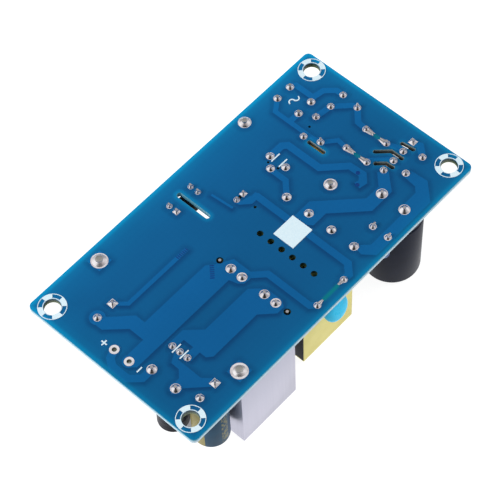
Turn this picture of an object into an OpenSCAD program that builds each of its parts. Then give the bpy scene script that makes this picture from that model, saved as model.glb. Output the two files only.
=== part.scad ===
// Open frame power supply, lying on the tops of its parts with the solder face up.
// The origin is the centre of the four mounting holes, on the solder face. +X points to the mains input end.

/* [Board] */
// Length of the board, from the output end to the input end
board_l = 106; // [105:0.5:108]
// Width of the board
board_w = 57.2; // [57:0.1:58]
// Thickness of the laminate
board_t = 1.6; // [1.4:0.1:1.8]
// Radius of the board's corners
board_corner = 1.5; // [1:0.5:2.5]
// Distance between the mounting holes along the board
hole_span_x = 98; // [97.5:0.5:98.5]
// Distance between the mounting holes across the board
hole_span_y = 47.4; // [47:0.2:48]
// Diameter of a mounting hole
hole_d = 4.5; // [4:0.1:4.8]
// How far the tracks stand above the laminate
track_h = 0.1; // [0.07:0.01:0.14]
// How far the white print stands above the laminate
print_h = 0.15; // [0.15:0.01:0.2]
// How far a lead stands out of the solder face
lead_tip = 1.2; // [1:0.1:1.4]
// Height of a solder joint above its pad
joint_h = 0.8; // [0.7:0.1:1]

/* [Heights below the board] */
// Height of the heatsinks, on which the part can rest
heatsink_h = 25.8; // [25.6:0.1:27]
// Height of the bulk capacitor
bulk_h = 25.5; // [23:0.1:25.5]
// Height of the output capacitors
output_cap_h = 19.7; // [17:0.1:22]
// Height of the output inductor
inductor_h = 20; // [15:0.1:22]
// Height of the transformer over its tape
transformer_h = 25.6; // [24:0.1:25.6]

/* [Output end] */
// Thickness of the heatsink sheet
sheet_t = 1.5; // [1.2:0.1:1.6]
// Outer face of the output heatsink's plate, along the board
heatsink_x = -35.25; // [-35.4:0.05:-35.1]
// Outer faces of the output heatsink's two flanges, across the board
heatsink_y = [-27.5, 27.9];
// Length of a flange along the board
flange_l = 19.7; // [18:0.1:21]
// Places of the two output capacitors
output_cap_at = [[-41.1, 13], [-40.7, -21.5]];
// Diameter of an output capacitor
output_cap_d = 9.8; // [9.4:0.1:9.8]
// Lead pitch of an output capacitor
output_cap_pitch = 5.4; // [5:0.1:5.4]
// Place of the output inductor's leads
inductor_at = [-45.4, -11.3];
// Lead pitch of the output inductor
inductor_pitch = 8; // [7.8:0.1:8]
// Centre of the output inductor's body
inductor_centre = [-44.5, -12];
// Diameter of the output inductor
inductor_d = 8.5; // [8:0.1:8.6]
// Place of the output rectifier's middle hole
rectifier_at = [-37.3, -9.1];
// Places of the two empty output pads
output_pads_at = [[-47.5, 3.5], [-47.5, -1.6]];
// Pitch of a transistor's leads
transistor_pitch = 2.54; // [2.5:0.01:2.6]

/* [Transformer] */
// Centre of the transformer
transformer_at = [1.3, -9.9];
// Distance between its two rows of pins
pin_rows = 25.4; // [25:0.1:25.6]
// Pitch of its pins
pin_pitch = 3.8; // [3.7:0.05:3.85]
// Core size along the board
core_x = 19; // [18:0.1:19]
// Core size across the board, before the tape
core_y = 27.3; // [26.5:0.1:27.6]
// Thickness of a core plate
core_plate = 3.5; // [3:0.1:4]
// Radius of the core's centre post
post_r = 6; // [5.5:0.1:6]
// Radius of the round window in the core
window_r = 11.2; // [11:0.1:11.5]
// Thickness of the outer tape
tape_t = 0.25; // [0.2:0.05:0.3]

/* [Input end] */
// Place of the bulk capacitor's leads
bulk_leads_at = [30.9, -20];
// Centre of the bulk capacitor's can
bulk_at = [30.9, -20.45];
// Diameter of the bulk capacitor
bulk_d = 15.7; // [15.5:0.1:15.8]
// Lead pitch of the bulk capacitor
bulk_pitch = 7.5; // [7.3:0.1:7.6]
// Face of the primary heatsink that carries the transistor
primary_x = 23.6; // [23.5:0.1:23.7]
// Ends of the primary heatsink, across the board
primary_y = [-6.6, 27.6];
// Places of the primary heatsink's two pins, across the board
primary_pins_y = [-4.4, 25.6];
// Place of the switching transistor's outer holes
switch_at = [20.75, 10.6];
// Middle hole of the switching transistor, along the board
switch_middle_x = 17.9; // [17.8:0.1:18.2]
// Place of the terminal block's front pins
terminal_at = [38.4, 24.3];
// Pitch of the terminal block
terminal_pitch = 5; // [5:0.01:5.08]
// Distance between the terminal block's front and back pins
terminal_rows = 7.5; // [7.4:0.1:7.6]
// Centre of the film capacitor's leads
film_at = [40.1, 6.3];
// Lead pitch of the film capacitor
film_pitch = 14.8; // [14.6:0.1:15]
// Size of the film capacitor
film_size = [17.8, 6.2, 13];
// Centre of the common-mode choke
choke_at = [39.75, -3.45];
// Pitches of the choke's pins
choke_pins = [7.9, 6.9];
// Centre of the bridge rectifier
bridge_at = [42.7, -11.85];
// Lead pitch of the bridge rectifier
bridge_pitch = 3.94; // [3.9:0.01:3.96]
// Centre of the fuse
fuse_at = [45.7, 11.9];
// Lead pitch of the fuse
fuse_pitch = 5; // [4.9:0.1:5.1]
// Centre of the varistor
varistor_at = [34.65, 11.75];
// Centre of the thermistor
thermistor_at = [43.15, -16.8];
// Centre of the snubber capacitor
snubber_at = [21.7, -23.5];

/* [Middle] */
// Place of the disc capacitor's leads, across the isolation gap
disc_cap_at = [-0.1, -25.75];
// Lead pitch of the disc capacitor
disc_cap_pitch = 10; // [9.8:0.1:10]
// Diameter of the disc capacitor
disc_cap_d = 7.9; // [7.5:0.1:8]
// Thickness of the disc capacitor
disc_cap_t = 3; // [2.8:0.1:3.1]
// Lean of the disc capacitor towards the edge
disc_cap_lean = 18; // [12:1:20]
// Centre of the optocoupler
opto_at = [-3.95, 21.05];
// Distance between the optocoupler's two rows of leads
opto_rows = 8; // [7.9:0.05:8.1]
// Centre of the bias capacitor's leads
bias_cap_at = [6.15, 10.6];
// Isolation slot under the optocoupler: place along the board and its two ends across it
slot_x = -3.7; // [-3.9:0.05:-3.65]
slot_y = [13, 22.7];
// Width of the isolation slot
slot_w = 1.5; // [1.4:0.05:1.6]

/* [Hidden] */
$fn = 32;

wire_d = 0.8;
thin_wire_d = 0.6;
strip_w = 0.8;
strip_t = 0.5;
strip_bore = 0.95;
hole_play = 0.3;
pin_d = 2;
plate_pin_d = 1.4;
seal_h = 2.2;
below = board_t + lead_tip;
cut = 1;

// A row of n points at a pitch, centred on c and turned by angle a
function row(c, pitch, n, a = 0) = [for (i = [0 : n - 1]) c + (i - (n - 1) / 2) * pitch * [cos(a), sin(a)]];

varistor_turn = 14;
varistor_pins = row(varistor_at, 7.1, 2, varistor_turn);
thermistor_pins = row(thermistor_at, 6.7, 2);
snubber_pins = row(snubber_at, 5, 2, 90);
fuse_pins = row(fuse_at, fuse_pitch, 2);
film_pins = row(film_at, film_pitch, 2);
bulk_pins = row(bulk_leads_at, bulk_pitch, 2, 90);
output_cap_pins = [for (c = output_cap_at) each row(c, output_cap_pitch, 2)];
bias_cap_pins = row(bias_cap_at, 2.5, 2);
inductor_pins = row(inductor_at, inductor_pitch, 2, 90);
bridge_pins = row(bridge_at, bridge_pitch, 4);
terminal_front = row(terminal_at, terminal_pitch, 2);
terminal_back = row(terminal_at - [0, terminal_rows], terminal_pitch, 2);
disc_cap_pins = row(disc_cap_at, disc_cap_pitch, 2);
choke_pin_list = [for (x = [-1, 1], y = [-1, 1]) choke_at + [x * choke_pins.x, y * choke_pins.y] / 2];
opto_pins = [for (x = [-1, 1], y = [-1, 1]) opto_at + [x * opto_rows, y * transistor_pitch] / 2];
secondary_x = transformer_at.x - pin_rows / 2;
primary_pin_x = transformer_at.x + pin_rows / 2;
secondary_pins = [for (i = [-2, -1, 1, 2]) [secondary_x, transformer_at.y + i * pin_pitch]];
spare_pins = [for (i = [-3, 3]) [secondary_x, transformer_at.y + i * pin_pitch]];
primary_pins = [for (i = [-3, -1, 1, 3]) [primary_pin_x, transformer_at.y + i * pin_pitch]];
rectifier_pins = row(rectifier_at, transistor_pitch, 3, 90);
switch_outer_pins = [for (s = [-1, 1]) switch_at + [0, s * (transistor_pitch + 0.15)]];
switch_middle_pin = [switch_middle_x, switch_at.y];
foot_pins = [[-31.6, -23.7], [-31.6, 24.3]];
plate_pins = [for (y = primary_pins_y) [primary_x + sheet_t / 2, y]];

// Every joint: place, pad diameter, lead bore, and whether the pad is square
function joints_at(pins, pad, bore, square = -1) =
    [for (i = [0 : len(pins) - 1]) [pins[i], pad, bore, i == square]];
joints = concat(
    joints_at([output_cap_pins[0], output_cap_pins[1]], 2.2, thin_wire_d, 1),
    joints_at([output_cap_pins[2], output_cap_pins[3]], 2.2, thin_wire_d, 1),
    joints_at(inductor_pins, 2.7, wire_d),
    joints_at(rectifier_pins, 1.9, strip_bore),
    joints_at(foot_pins, 4.6, pin_d),
    joints_at(secondary_pins, 2.7, wire_d),
    joints_at(primary_pins, 2.5, wire_d),
    joints_at(disc_cap_pins, 1.9, thin_wire_d),
    joints_at([opto_pins[0]], 1.7, strip_bore, 0),
    joints_at([opto_pins[1], opto_pins[2], opto_pins[3]], 1.6, strip_bore),
    joints_at(bias_cap_pins, 1.7, thin_wire_d, 1),
    joints_at(concat(switch_outer_pins, [switch_middle_pin]), 2.3, strip_bore),
    joints_at(plate_pins, 3.6, plate_pin_d),
    joints_at(concat(terminal_front, terminal_back), 2.2, wire_d),
    joints_at(fuse_pins, 2, thin_wire_d),
    joints_at(varistor_pins, 2, wire_d),
    joints_at(film_pins, 2, wire_d),
    joints_at(choke_pin_list, 2, wire_d),
    joints_at(bridge_pins, 2, strip_bore, 3),
    joints_at(thermistor_pins, 2.1, wire_d),
    joints_at(bulk_pins, 3.1, wire_d),
    joints_at(snubber_pins, 2, thin_wire_d)
);

// Holes with no solder: place and diameter
open_holes = concat(
    [for (p = spare_pins) [p, 1.9]],
    [for (p = row(transformer_at, 3.65, 6, 90)) [p, 1.75]],
    [for (p = output_pads_at) [p, 1.3]],
    [[bias_cap_at, 0.9], [[6.4, 5.6], 0.8], [[19, 12.4], 0.7], [[19.3, 9.2], 0.7], [[34.6, 11.8], 0.7]]
);

// Narrow slots: their middle lines and widths
slots = [
    [[[slot_x, slot_y[0]], [slot_x, slot_y[1]]], slot_w],
    [[[30.8, 3.7], [30.8, 8.5]], 1.15],
    [[[37, -8.9], [38.8, -10.95], [39, -13]], 1.15],
    [[[39.8, -6.4], [42.65, -9.45], [42.7, -13]], 1.15],
    [[[46.4, -10.1], [46.85, -13.4]], 1.15]
];

// Wide copper areas, as outlines
output_negative = [
    [-37, 3.2], [-37, 6.2], [-42, 11.2], [-43.8, 13], [-45.6, 12.2], [-45.5, 9.7], [-40.8, 4.7], [-40.8, 0],
    [-46.2, 0], [-47.5, -1.6], [-48.8, -2.6], [-47.4, -4.2], [-14.2, -4.2], [-13.5, -6.6], [-12.4, -7.8],
    [-10.4, -8], [-8.8, -6.8], [-8.8, -1], [-13.6, 1.9], [-15, 3.2]
];
rectifier_anodes = [
    [-37.3, -5.4], [-32.4, -5.4], [-28.6, -9.5], [-13, -9.5], [-11, -11.6], [-9.8, -13.5], [-9.8, -18.2],
    [-11, -19.8], [-13.4, -19.8], [-17, -16.2], [-32.8, -16.2], [-34.2, -15], [-34.2, -12.9],
    [-37.3, -12.9], [-37.3, -10.7], [-34.2, -10.7], [-34.2, -7.5], [-37.3, -7.5]
];
rectifier_cathode = [
    [-37.3, -8.2], [-38.4, -8.2], [-41, -9.7], [-41, -12.2], [-42.8, -14], [-45.4, -14.1], [-46.2, -16.2],
    [-44.2, -16.6], [-39.4, -21.4], [-37.8, -21.4], [-37.4, -20.1], [-39.2, -18], [-39.2, -10.1], [-37.3, -10.1]
];
bias_head = [
    [4, 9.8], [4.3, 9], [6.6, 6.8], [8.4, 6.8], [10.2, 7.4], [9.8, 8.6], [8.6, 8.6], [5.8, 9.4], [5, 10.6]
];
primary_negative = [
    [11, -3.8], [16.8, -3.8], [27.2, -14.2], [32, -14.2], [35.2, -11], [37.4, -13], [33, -17.8],
    [25.2, -17.8], [16.8, -9.4], [12, -9.4], [11, -8]
];
primary_positive = [
    [14.2, -20.6], [13.4, -24.2], [15.8, -27.3], [37, -27.3], [41.6, -22.6], [41.3, -17.4], [39.8, -16],
    [38.6, -17.6], [38.2, -21.2], [36.8, -22.6], [32.2, -22.6], [29, -24.2], [17.2, -24.2], [15.4, -22.2]
];
// Tracks of one width: their middle lines and widths
tracks = [
    [[[-38.4, 13], [-35.8, 10], [-14.4, 10]], 1.15],
    [[[-47.5, 3.4], [-49.8, 2.6], [-51.2, 0.6], [-51.2, -4.6], [-48.7, -7.3], [-45.4, -7.3]], 2.1],
    [[[-9.6, -7.2], [-6.4, -10.4], [-6.4, -24.4], [-5.1, -25.7]], 1.9],
    [[[9.2, 7.8], [9.2, -23.4], [6.8, -25.8], [4.9, -25.7]], 2],
    [[[1.8, 16.6], [2.4, 9.7]], 0.65],
    [[[14, 1.5], [17.7, 5.2], [17.7, 10.6]], 1.6],
    [[[20.8, 13.2], [25.2, 13.2], [26.4, 12], [26.4, 1.2], [32, -4.4], [32.2, -8.6], [30.5, -10.2],
      [28.6, -9.8]], 2.1],
    [[[35.9, 24.3], [32.3, 21.8], [32.3, 9.4], [32.7, 6.3], [36.2, 3.2], [35.8, 0]], 1.35],
    [[[32.4, 16.8], [36, 16.8]], 1.7],
    [[[31.2, 10.9], [32.2, 10.9]], 1.4],
    [[[40.9, 24.3], [42.4, 23.4], [42.4, 17.4], [45.8, 16.8], [48.2, 14.2], [48.2, 12]], 1.7],
    [[[41, 16.8], [42.3, 17.2]], 1.5],
    [[[38.1, 12.6], [43.2, 11.9], [47.2, 7.8], [47.5, 6.3], [44, 3], [43.7, 0]], 1.7],
    [[[36.3, -6.9], [40.8, -11.4]], 1.8],
    [[[43.7, -6.9], [44.7, -10.4], [44.7, -11.8]], 1.6],
    [[[48.6, -12.2], [49, -14], [46.5, -16.8]], 1.9]
];
// Spark-gap tips of bare tinned copper: base, end, width, and share of that width at the forked end
spark_tips = [
    [disc_cap_pins[0], [-3, -25.7], 1.5, 0.2],
    [disc_cap_pins[1], [2.8, -25.7], 1.5, 0.2],
    [choke_pin_list[1], [35.8, -2.75], 1.35, 0.7],
    [choke_pin_list[3], [43.7, -2.75], 1.35, 0.7],
    [choke_pin_list[0], [35.8, -4.45], 1.35, 0.7],
    [choke_pin_list[2], [43.7, -4.45], 1.35, 0.7]
];

// White print: separating lines between leads (two ends each), and the plain block
print_lines = [
    [[-38.7, -7.8], [-35.6, -7.8]], [[-38.7, -10.4], [-35.6, -10.4]],
    [[19.7, 11.9], [22.9, 11.9]], [[19.7, 9.3], [22.9, 9.3]]
];
print_line_w = 0.36;
print_block = [[3.4, -10.1], [10.8, -3.4]];
ring_d = [4.68, 7.55];
ring_line = 0.18;

// A row of sub-parts on the component side
chip_size = [2, 1.25, 0.6];
chips_at = [
    [8.2, 16], [8.2, 18.4], [8.2, 20.8], [13, 22.2], [16.2, 22.2], [16.6, 14.4], [13, 13.2],
    [-14.6, 14.6], [-14.6, 23.2], [-18.4, 17.2], [-18.4, 19.6], [-22, 17.2], [-22, 19.6]
];
controller_at = [13.2, 17.6];
regulator_at = [-14, 19];

// Turns a frame over onto the component side, where z is the height above the board
module on_components() {
    translate([0, 0, -board_t]) mirror([0, 0, 1]) children();
}

// Sideways step at point i of a line, so that a band keeps its width round a bend
function side_at(points, i) =
    let (
        n = len(points),
        before = points[max(i, 1)] - points[max(i, 1) - 1],
        after = points[min(i + 1, n - 1)] - points[min(i + 1, n - 1) - 1],
        u = [-before.y, before.x] / norm(before),
        v = [-after.y, after.x] / norm(after)
    )
    (u + v) / (1 + u * v);

// A flat band of one width along points, with mitred bends and, if wanted, round ends
module band(points, w, round_ends = true) {
    n = len(points);
    polygon([
        for (i = [0 : n - 1]) points[i] + side_at(points, i) * w / 2,
        for (i = [n - 1 : -1 : 0]) points[i] - side_at(points, i) * w / 2
    ]);
    if (round_ends) for (i = [0, n - 1]) translate(points[i]) circle(d = w + 0.02);
}

// A round lead through the board, from its tip on the solder side up to a height
module lead(at, d, top) {
    translate([at.x, at.y, -below]) cylinder(d = d, h = below + top);
}

// A flat lead through the board that follows points of [x, height], at one place across the board
module strip_lead(y, points) {
    translate([0, y, 0]) rotate([90, 0, 0]) linear_extrude(strip_w, center = true)
        band(points, strip_t, false);
}

// A round wire through points in space
module wire(points, d) {
    for (i = [0 : len(points) - 2]) {
        step = points[i + 1] - points[i];
        flat = norm([step.x, step.y]);
        translate(points[i]) rotate([0, atan2(flat, step.z), atan2(step.y, step.x)])
            cylinder(d = d, h = norm(step));
    }
    for (i = [1 : len(points) - 2]) translate(points[i]) sphere(d = d * 1.08);
}

module pad_outline(j, grow = 0) {
    translate(j[0])
        if (j[3]) square(j[1] * 0.95 + grow, center = true);
        else circle(d = j[1] + grow);
}

module spark_tip(t) {
    step = t[1] - t[0];
    side = [-step.y, step.x] / norm(step) * t[2] / 2;
    notch = t[1] - step * (0.2 * t[3]);
    polygon([t[0] + side, t[0] - side, t[1] - side * t[3], notch, t[1] + side * t[3]]);
}

module board_outline() {
    inner = [board_l / 2 - board_corner, board_w / 2 - board_corner];
    square([board_l, 2 * inner.y], center = true);
    square([2 * inner.x, board_w], center = true);
    for (x = [-1, 1], y = [-1, 1]) translate([x * inner.x, y * inner.y]) circle(board_corner);
}

module mounting_places() {
    for (x = [-1, 1], y = [-1, 1]) translate([x * hole_span_x, y * hole_span_y] / 2) children();
}

// Laminate with its mounting holes, isolation slots and lead holes
module circuit_board() {
    color([0.09, 0.36, 0.58]) translate([0, 0, -board_t]) difference() {
        linear_extrude(board_t) board_outline();
        translate([0, 0, -cut]) {
            mounting_places() cylinder(d = hole_d, h = board_t + 2 * cut);
            for (j = joints) translate(j[0]) cylinder(d = j[2] + hole_play, h = board_t + 2 * cut, $fn = 16);
            for (h = open_holes) translate(h[0]) cylinder(d = h[1], h = board_t + 2 * cut, $fn = 16);
            for (s = slots) linear_extrude(board_t + 2 * cut) band(s[0], s[1]);
        }
    }
}

// Raised copper areas, cut back round the pads, slots and print
module copper_tracks() {
    color([0.07, 0.4, 0.68]) linear_extrude(track_h) difference() {
        union() {
            polygon(output_negative);
            translate(output_cap_pins[0]) circle(2.1);
            translate(output_pads_at[1]) circle(1.8);
            polygon(rectifier_anodes);
            polygon(rectifier_cathode);
            translate(inductor_pins[0]) circle(1.6);
            polygon(bias_head);
            polygon(primary_negative);
            polygon(primary_positive);
            for (p = foot_pins) translate(p) square(4.4, center = true);
            for (t = tracks) band(t[0], t[1], false);
        }
        for (j = joints) pad_outline(j, 0.1);
        for (p = output_pads_at) translate(p) circle(d = 2.7);
        for (h = open_holes) translate(h[0]) circle(d = h[1] + 0.3);
        for (s = slots) band(s[0], s[1] + 0.6);
        for (t = spark_tips) spark_tip(t);
        print_outlines();
    }
}

// Tinned pads with their spark-gap tips, and the two flat output rings
module copper_pads() {
    color([0.8, 0.8, 0.78]) linear_extrude(track_h) {
        for (j = joints) difference() {
            union() {
                pad_outline(j);
                for (t = spark_tips) if (t[0] == j[0]) spark_tip(t);
            }
            translate(j[0]) circle(d = j[2] + hole_play);
        }
        for (p = output_pads_at) translate(p) difference() {
            circle(d = 2.6);
            circle(d = 1.3);
        }
    }
}

// A ring of eight sectors, every other one filled, between two thin lines
module divided_ring() {
    for (d = [ring_d[0] + 2 * ring_line, ring_d[1]]) difference() {
        circle(d = d);
        circle(d = d - 2 * ring_line);
    }
    difference() {
        circle(d = ring_d[1] - ring_line);
        circle(d = ring_d[0] + ring_line);
        for (a = [0 : 90 : 270]) rotate(a) polygon([[0, 0], [ring_d[1], 0], [ring_d[1], ring_d[1]]]);
    }
}

// An alternating-current sign made of two half rings
module wave_sign(r, w) {
    for (s = [-1, 1]) translate([s * r, 0]) difference() {
        circle(r + w / 2);
        circle(r - w / 2);
        translate([-2 * r, s > 0 ? 0 : -2 * r]) square([4 * r, 2 * r]);
    }
}

module print_outlines() {
    mounting_places() divided_ring();
    for (l = print_lines) band(l, print_line_w, false);
    translate(print_block[0]) square(print_block[1] - print_block[0]);
    translate([-47.8, 6.7]) {
        square([1.8, 0.35], center = true);
        square([0.35, 1.8], center = true);
    }
    translate([-47.5, -5.1]) square([1.8, 0.35], center = true);
    translate([38.4, 20.6]) wave_sign(0.8, 0.35);
}

module white_print() {
    color("white") linear_extrude(print_h) print_outlines();
}

// One tapered joint round each lead
module solder_joints() {
    color([0.78, 0.78, 0.78]) for (j = joints) {
        foot = j[1] / 2;
        neck = j[2] / 2;
        lift = j[1] > 3 ? joint_h * 1.3 : joint_h;
        translate([j[0].x, j[0].y, track_h]) rotate_extrude($fn = 20) polygon([
            [neck, 0], [foot, 0], [foot * 0.88, lift * 0.4], [(foot + neck) / 2, lift * 0.82],
            [neck + 0.12, lift], [neck, lift]]);
    }
}

// Bent sheet in plan: a plate across the board and a flange along each edge
module output_heatsink() {
    mid = sheet_t / 2;
    tip_x = heatsink_x + flange_l;
    lift = 1;
    screw_z = heatsink_screw_z();
    color([0.83, 0.82, 0.88]) on_components() difference() {
        union() {
            translate([0, 0, lift]) linear_extrude(heatsink_h - lift) band([
                [tip_x, heatsink_y[0] + mid], [heatsink_x + mid, heatsink_y[0] + mid],
                [heatsink_x + mid, heatsink_y[1] - mid], [tip_x, heatsink_y[1] - mid]], sheet_t, false);
            for (i = [0, 1]) {
                foot_w = 4.6;
                reach = abs(heatsink_y[i] - foot_pins[i].y) + 2.2;
                translate([foot_pins[i].x - foot_w / 2, i == 0 ? heatsink_y[0] : heatsink_y[1] - reach, 0])
                    cube([foot_w, reach, sheet_t]);
            }
        }
        for (p = foot_pins) translate([p.x, p.y, -cut]) cylinder(d = pin_d, h = 4);
        translate([heatsink_x - cut, rectifier_at.y, screw_z]) rotate([0, 90, 0]) cylinder(d = 3.2, h = 5);
    }
}

// Flat plate that stands on two pressed-in pins
module primary_heatsink() {
    lift = 1;
    color([0.8, 0.8, 0.83]) on_components() difference() {
        translate([primary_x, primary_y[0], lift])
            cube([sheet_t, primary_y[1] - primary_y[0], heatsink_h - lift]);
        for (p = plate_pins) translate([p.x, p.y, 0]) cylinder(d = plate_pin_d, h = 4);
        translate([primary_x - cut, switch_at.y, heatsink_screw_z()]) rotate([0, 90, 0])
            cylinder(d = 3.2, h = 5);
    }
}

module heatsink_pins() {
    color([0.75, 0.72, 0.65]) on_components() {
        for (p = foot_pins) {
            lead(p, pin_d, sheet_t);
            translate([p.x, p.y, sheet_t]) cylinder(d = 3.4, h = 0.8);
        }
        for (p = plate_pins) {
            lead(p, plate_pin_d, 4);
            translate([p.x, p.y, 0]) difference() {
                cylinder(d = 2.8, h = 1);
                translate([0, 0, -cut]) cylinder(d = plate_pin_d, h = 3);
            }
        }
    }
}

core_low = 2.2;
core_high = transformer_h - tape_t;
window_low = core_low + core_plate;
window_high = core_high - core_plate;
core_split = (core_low + core_high) / 2;

// One core half in plan terms: a waisted plate, a round post and two legs round a round window
module core_half() {
    plate_h = core_split - core_low;
    translate([transformer_at.x, transformer_at.y, 0]) difference() {
        translate([-core_x / 2, -core_y / 2, 0]) cube([core_x, core_y, plate_h]);
        translate([0, 0, core_plate]) difference() {
            cylinder(r = window_r, h = plate_h, $fn = 64);
            translate([0, 0, -cut]) cylinder(r = post_r, h = plate_h + 2 * cut);
        }
        for (s = [-1, 1]) translate([s * (core_x / 2 + 7), 0, -cut]) cylinder(r = 9, h = plate_h + 2 * cut);
    }
}

module transformer_core_lower() {
    color([0.13, 0.13, 0.15]) on_components() translate([0, 0, core_low]) core_half();
}

module transformer_core_upper() {
    color([0.15, 0.15, 0.17]) on_components() translate([0, 0, core_high]) mirror([0, 0, 1]) core_half();
}

// Tube with two flanges; the lower flange carries the two pin rails outside the core
module transformer_bobbin() {
    tube_r = post_r + 0.6;
    flange_t = 1;
    rail_in = core_x / 2 + 0.3;
    rail_out = pin_rows / 2 + 1.9;
    rail_l = core_y / 2 - 0.7;
    neck_w = 11.4;
    rail_low = 0.6;
    flange_low = window_low + 0.1;
    color([0.1, 0.1, 0.1]) on_components() translate([transformer_at.x, transformer_at.y, 0]) difference() {
        union() {
            translate([0, 0, flange_low]) cylinder(r = tube_r, h = window_high - window_low - 0.2);
            for (z = [flange_low, window_high - 0.1 - flange_t])
                translate([0, 0, z]) cylinder(r = window_r - 0.3, h = flange_t, $fn = 64);
            for (s = [-1, 1]) {
                translate([s > 0 ? tube_r : -rail_in - 1, -neck_w / 2, flange_low])
                    cube([rail_in + 1 - tube_r, neck_w, flange_t]);
                translate([s > 0 ? rail_in : -rail_out, -rail_l, rail_low])
                    cube([rail_out - rail_in, 2 * rail_l, flange_low + flange_t - rail_low]);
            }
        }
        translate([0, 0, -cut]) cylinder(r = post_r + 0.05, h = 40);
        for (p = concat(secondary_pins, spare_pins, primary_pins))
            translate([p.x - transformer_at.x, p.y - transformer_at.y, 0]) cylinder(d = wire_d, h = 4);
    }
}

module transformer_windings() {
    low = window_low + 1.1;
    high = window_high - 1.1;
    color([0.85, 0.78, 0.35]) on_components() translate([transformer_at.x, transformer_at.y, low])
        difference() {
            cylinder(r = window_r - 0.8, h = high - low, $fn = 64);
            translate([0, 0, -cut]) cylinder(r = post_r + 0.6, h = high);
        }
}

// Loop of tape over the core's two long faces, its top and its underside
module transformer_tape() {
    tape_w = core_x - 0.1;
    color([0.91, 0.86, 0.5]) on_components()
        translate([transformer_at.x - tape_w / 2, transformer_at.y, 0]) rotate([90, 0, 90])
            linear_extrude(tape_w) difference() {
                translate([-core_y / 2 - tape_t, core_low - tape_t])
                    square([core_y + 2 * tape_t, core_high - core_low + 2 * tape_t]);
                translate([-core_y / 2, core_low]) square([core_y, core_high - core_low]);
            }
}

module transformer_pins() {
    color([0.8, 0.78, 0.7]) on_components() {
        for (p = concat(secondary_pins, primary_pins)) lead(p, wire_d, 4);
        for (p = spare_pins) translate([p.x, p.y, -board_t - 0.2]) cylinder(d = wire_d, h = board_t + 4.2);
    }
}

// Sleeved aluminium can with a rolled groove near its open end and a rounded far edge
module can(at, d, h) {
    r = d / 2;
    low = 0.3;
    groove = 0.45;
    edge = 0.6;
    translate([at.x, at.y, 0]) rotate_extrude($fn = 48) polygon([
        [r - 0.9, low], [r - 0.3, low], [r, low + 0.3], [r, low + 1.4], [r - groove, low + 1.9],
        [r, low + 2.4], [r, h - edge], [r - edge * 0.3, h - edge * 0.3], [r - edge, h], [r - 1.4, h],
        [r - 1.6, h - 0.25], [0, h - 0.25], [0, low + seal_h], [r - 0.9, low + seal_h]]);
}

module bulk_capacitor() {
    color([0.12, 0.12, 0.15]) on_components() can(bulk_at, bulk_d, bulk_h);
}

module output_capacitor(i) {
    color([0.3, 0.45, 0.48]) on_components() can(output_cap_at[i], output_cap_d, output_cap_h);
}

module bias_capacitor() {
    color([0.12, 0.12, 0.15]) on_components() can(bias_cap_at, 5, 11);
}

module seal(at, d, pins, bore) {
    difference() {
        translate([at.x, at.y, 0.3]) cylinder(r = d / 2 - 0.9, h = seal_h);
        for (p = pins) translate([p.x, p.y, -cut]) cylinder(d = bore, h = seal_h + 3 * cut);
    }
}

module capacitor_seals() {
    color([0.2, 0.2, 0.2]) on_components() {
        seal(bulk_at, bulk_d, bulk_pins, wire_d);
        for (i = [0, 1])
            seal(output_cap_at[i], output_cap_d, [output_cap_pins[2 * i], output_cap_pins[2 * i + 1]], thin_wire_d);
        seal(bias_cap_at, 5, bias_cap_pins, thin_wire_d);
    }
}

module capacitor_leads() {
    color([0.8, 0.8, 0.78]) on_components() {
        for (p = bulk_pins) lead(p, wire_d, 0.3 + seal_h);
        for (p = concat(output_cap_pins, bias_cap_pins)) lead(p, thin_wire_d, 0.3 + seal_h);
    }
}

// Dipped disc with a full round rim, standing on edge over the middle of its leads
module disc(at, d, t, z, turn) {
    translate([at.x, at.y, z]) rotate([90, 0, turn]) rotate_extrude() {
        translate([0, -t / 2]) square([d / 2 - t / 2, t]);
        translate([d / 2 - t / 2, 0]) intersection() {
            circle(d = t);
            translate([0, -t / 2]) square(t);
        }
    }
}

disc_lead_top = 6;
disc_cap_centre = [0.9, -26.35, 6.6];
disc_cap_wires = [for (i = [0, 1])
    [[disc_cap_pins[i].x, disc_cap_pins[i].y, -below], [disc_cap_pins[i].x, disc_cap_pins[i].y, 0.9],
     [disc_cap_centre.x + (i == 0 ? -1.6 : 1.6), disc_cap_pins[i].y, 4.4]]];

module disc_capacitor() {
    color([0.25, 0.65, 0.95]) on_components() difference() {
        translate(disc_cap_centre) rotate([disc_cap_lean, 0, 0]) disc([0, 0], disc_cap_d, disc_cap_t, 0, 0);
        for (w = disc_cap_wires) wire(w, thin_wire_d);
    }
}

module disc_capacitor_leads() {
    color([0.8, 0.8, 0.78]) on_components() for (w = disc_cap_wires) wire(w, thin_wire_d);
}

module snubber_capacitor() {
    color([0.2, 0.5, 0.8]) on_components() difference() {
        disc(snubber_at - [0.2, 0], 6.4, 2.4, 5.6, 90);
        for (p = snubber_pins) lead(p, thin_wire_d, disc_lead_top);
    }
}

module varistor() {
    color([0.15, 0.3, 0.6]) on_components() difference() {
        disc(varistor_at, 9, 2.8, 6.4, varistor_turn);
        for (p = varistor_pins) lead(p, wire_d, disc_lead_top);
    }
}

module thermistor() {
    color([0.12, 0.18, 0.14]) on_components() difference() {
        disc(thermistor_at + [0.4, 0], 8.4, 3.6, 6, 0);
        for (p = thermistor_pins) lead(p, wire_d, disc_lead_top);
    }
}

// Box fuse with bevelled corners on a flanged base
module fuse() {
    size = [8.2, 4];
    color([0.1, 0.1, 0.1]) on_components() difference() {
        translate([fuse_at.x, fuse_at.y, 0]) {
            translate([0, 0, 0.3]) linear_extrude(1) square(size, center = true);
            translate([0, 0, 1.3]) linear_extrude(6.6) difference() {
                square(size - [0.4, 0.4], center = true);
                for (x = [-1, 1], y = [-1, 1]) translate([x * size.x, y * size.y] / 2) rotate(45)
                    square(1.4, center = true);
            }
        }
        for (p = fuse_pins) lead(p, thin_wire_d, 1.3);
    }
}

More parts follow.
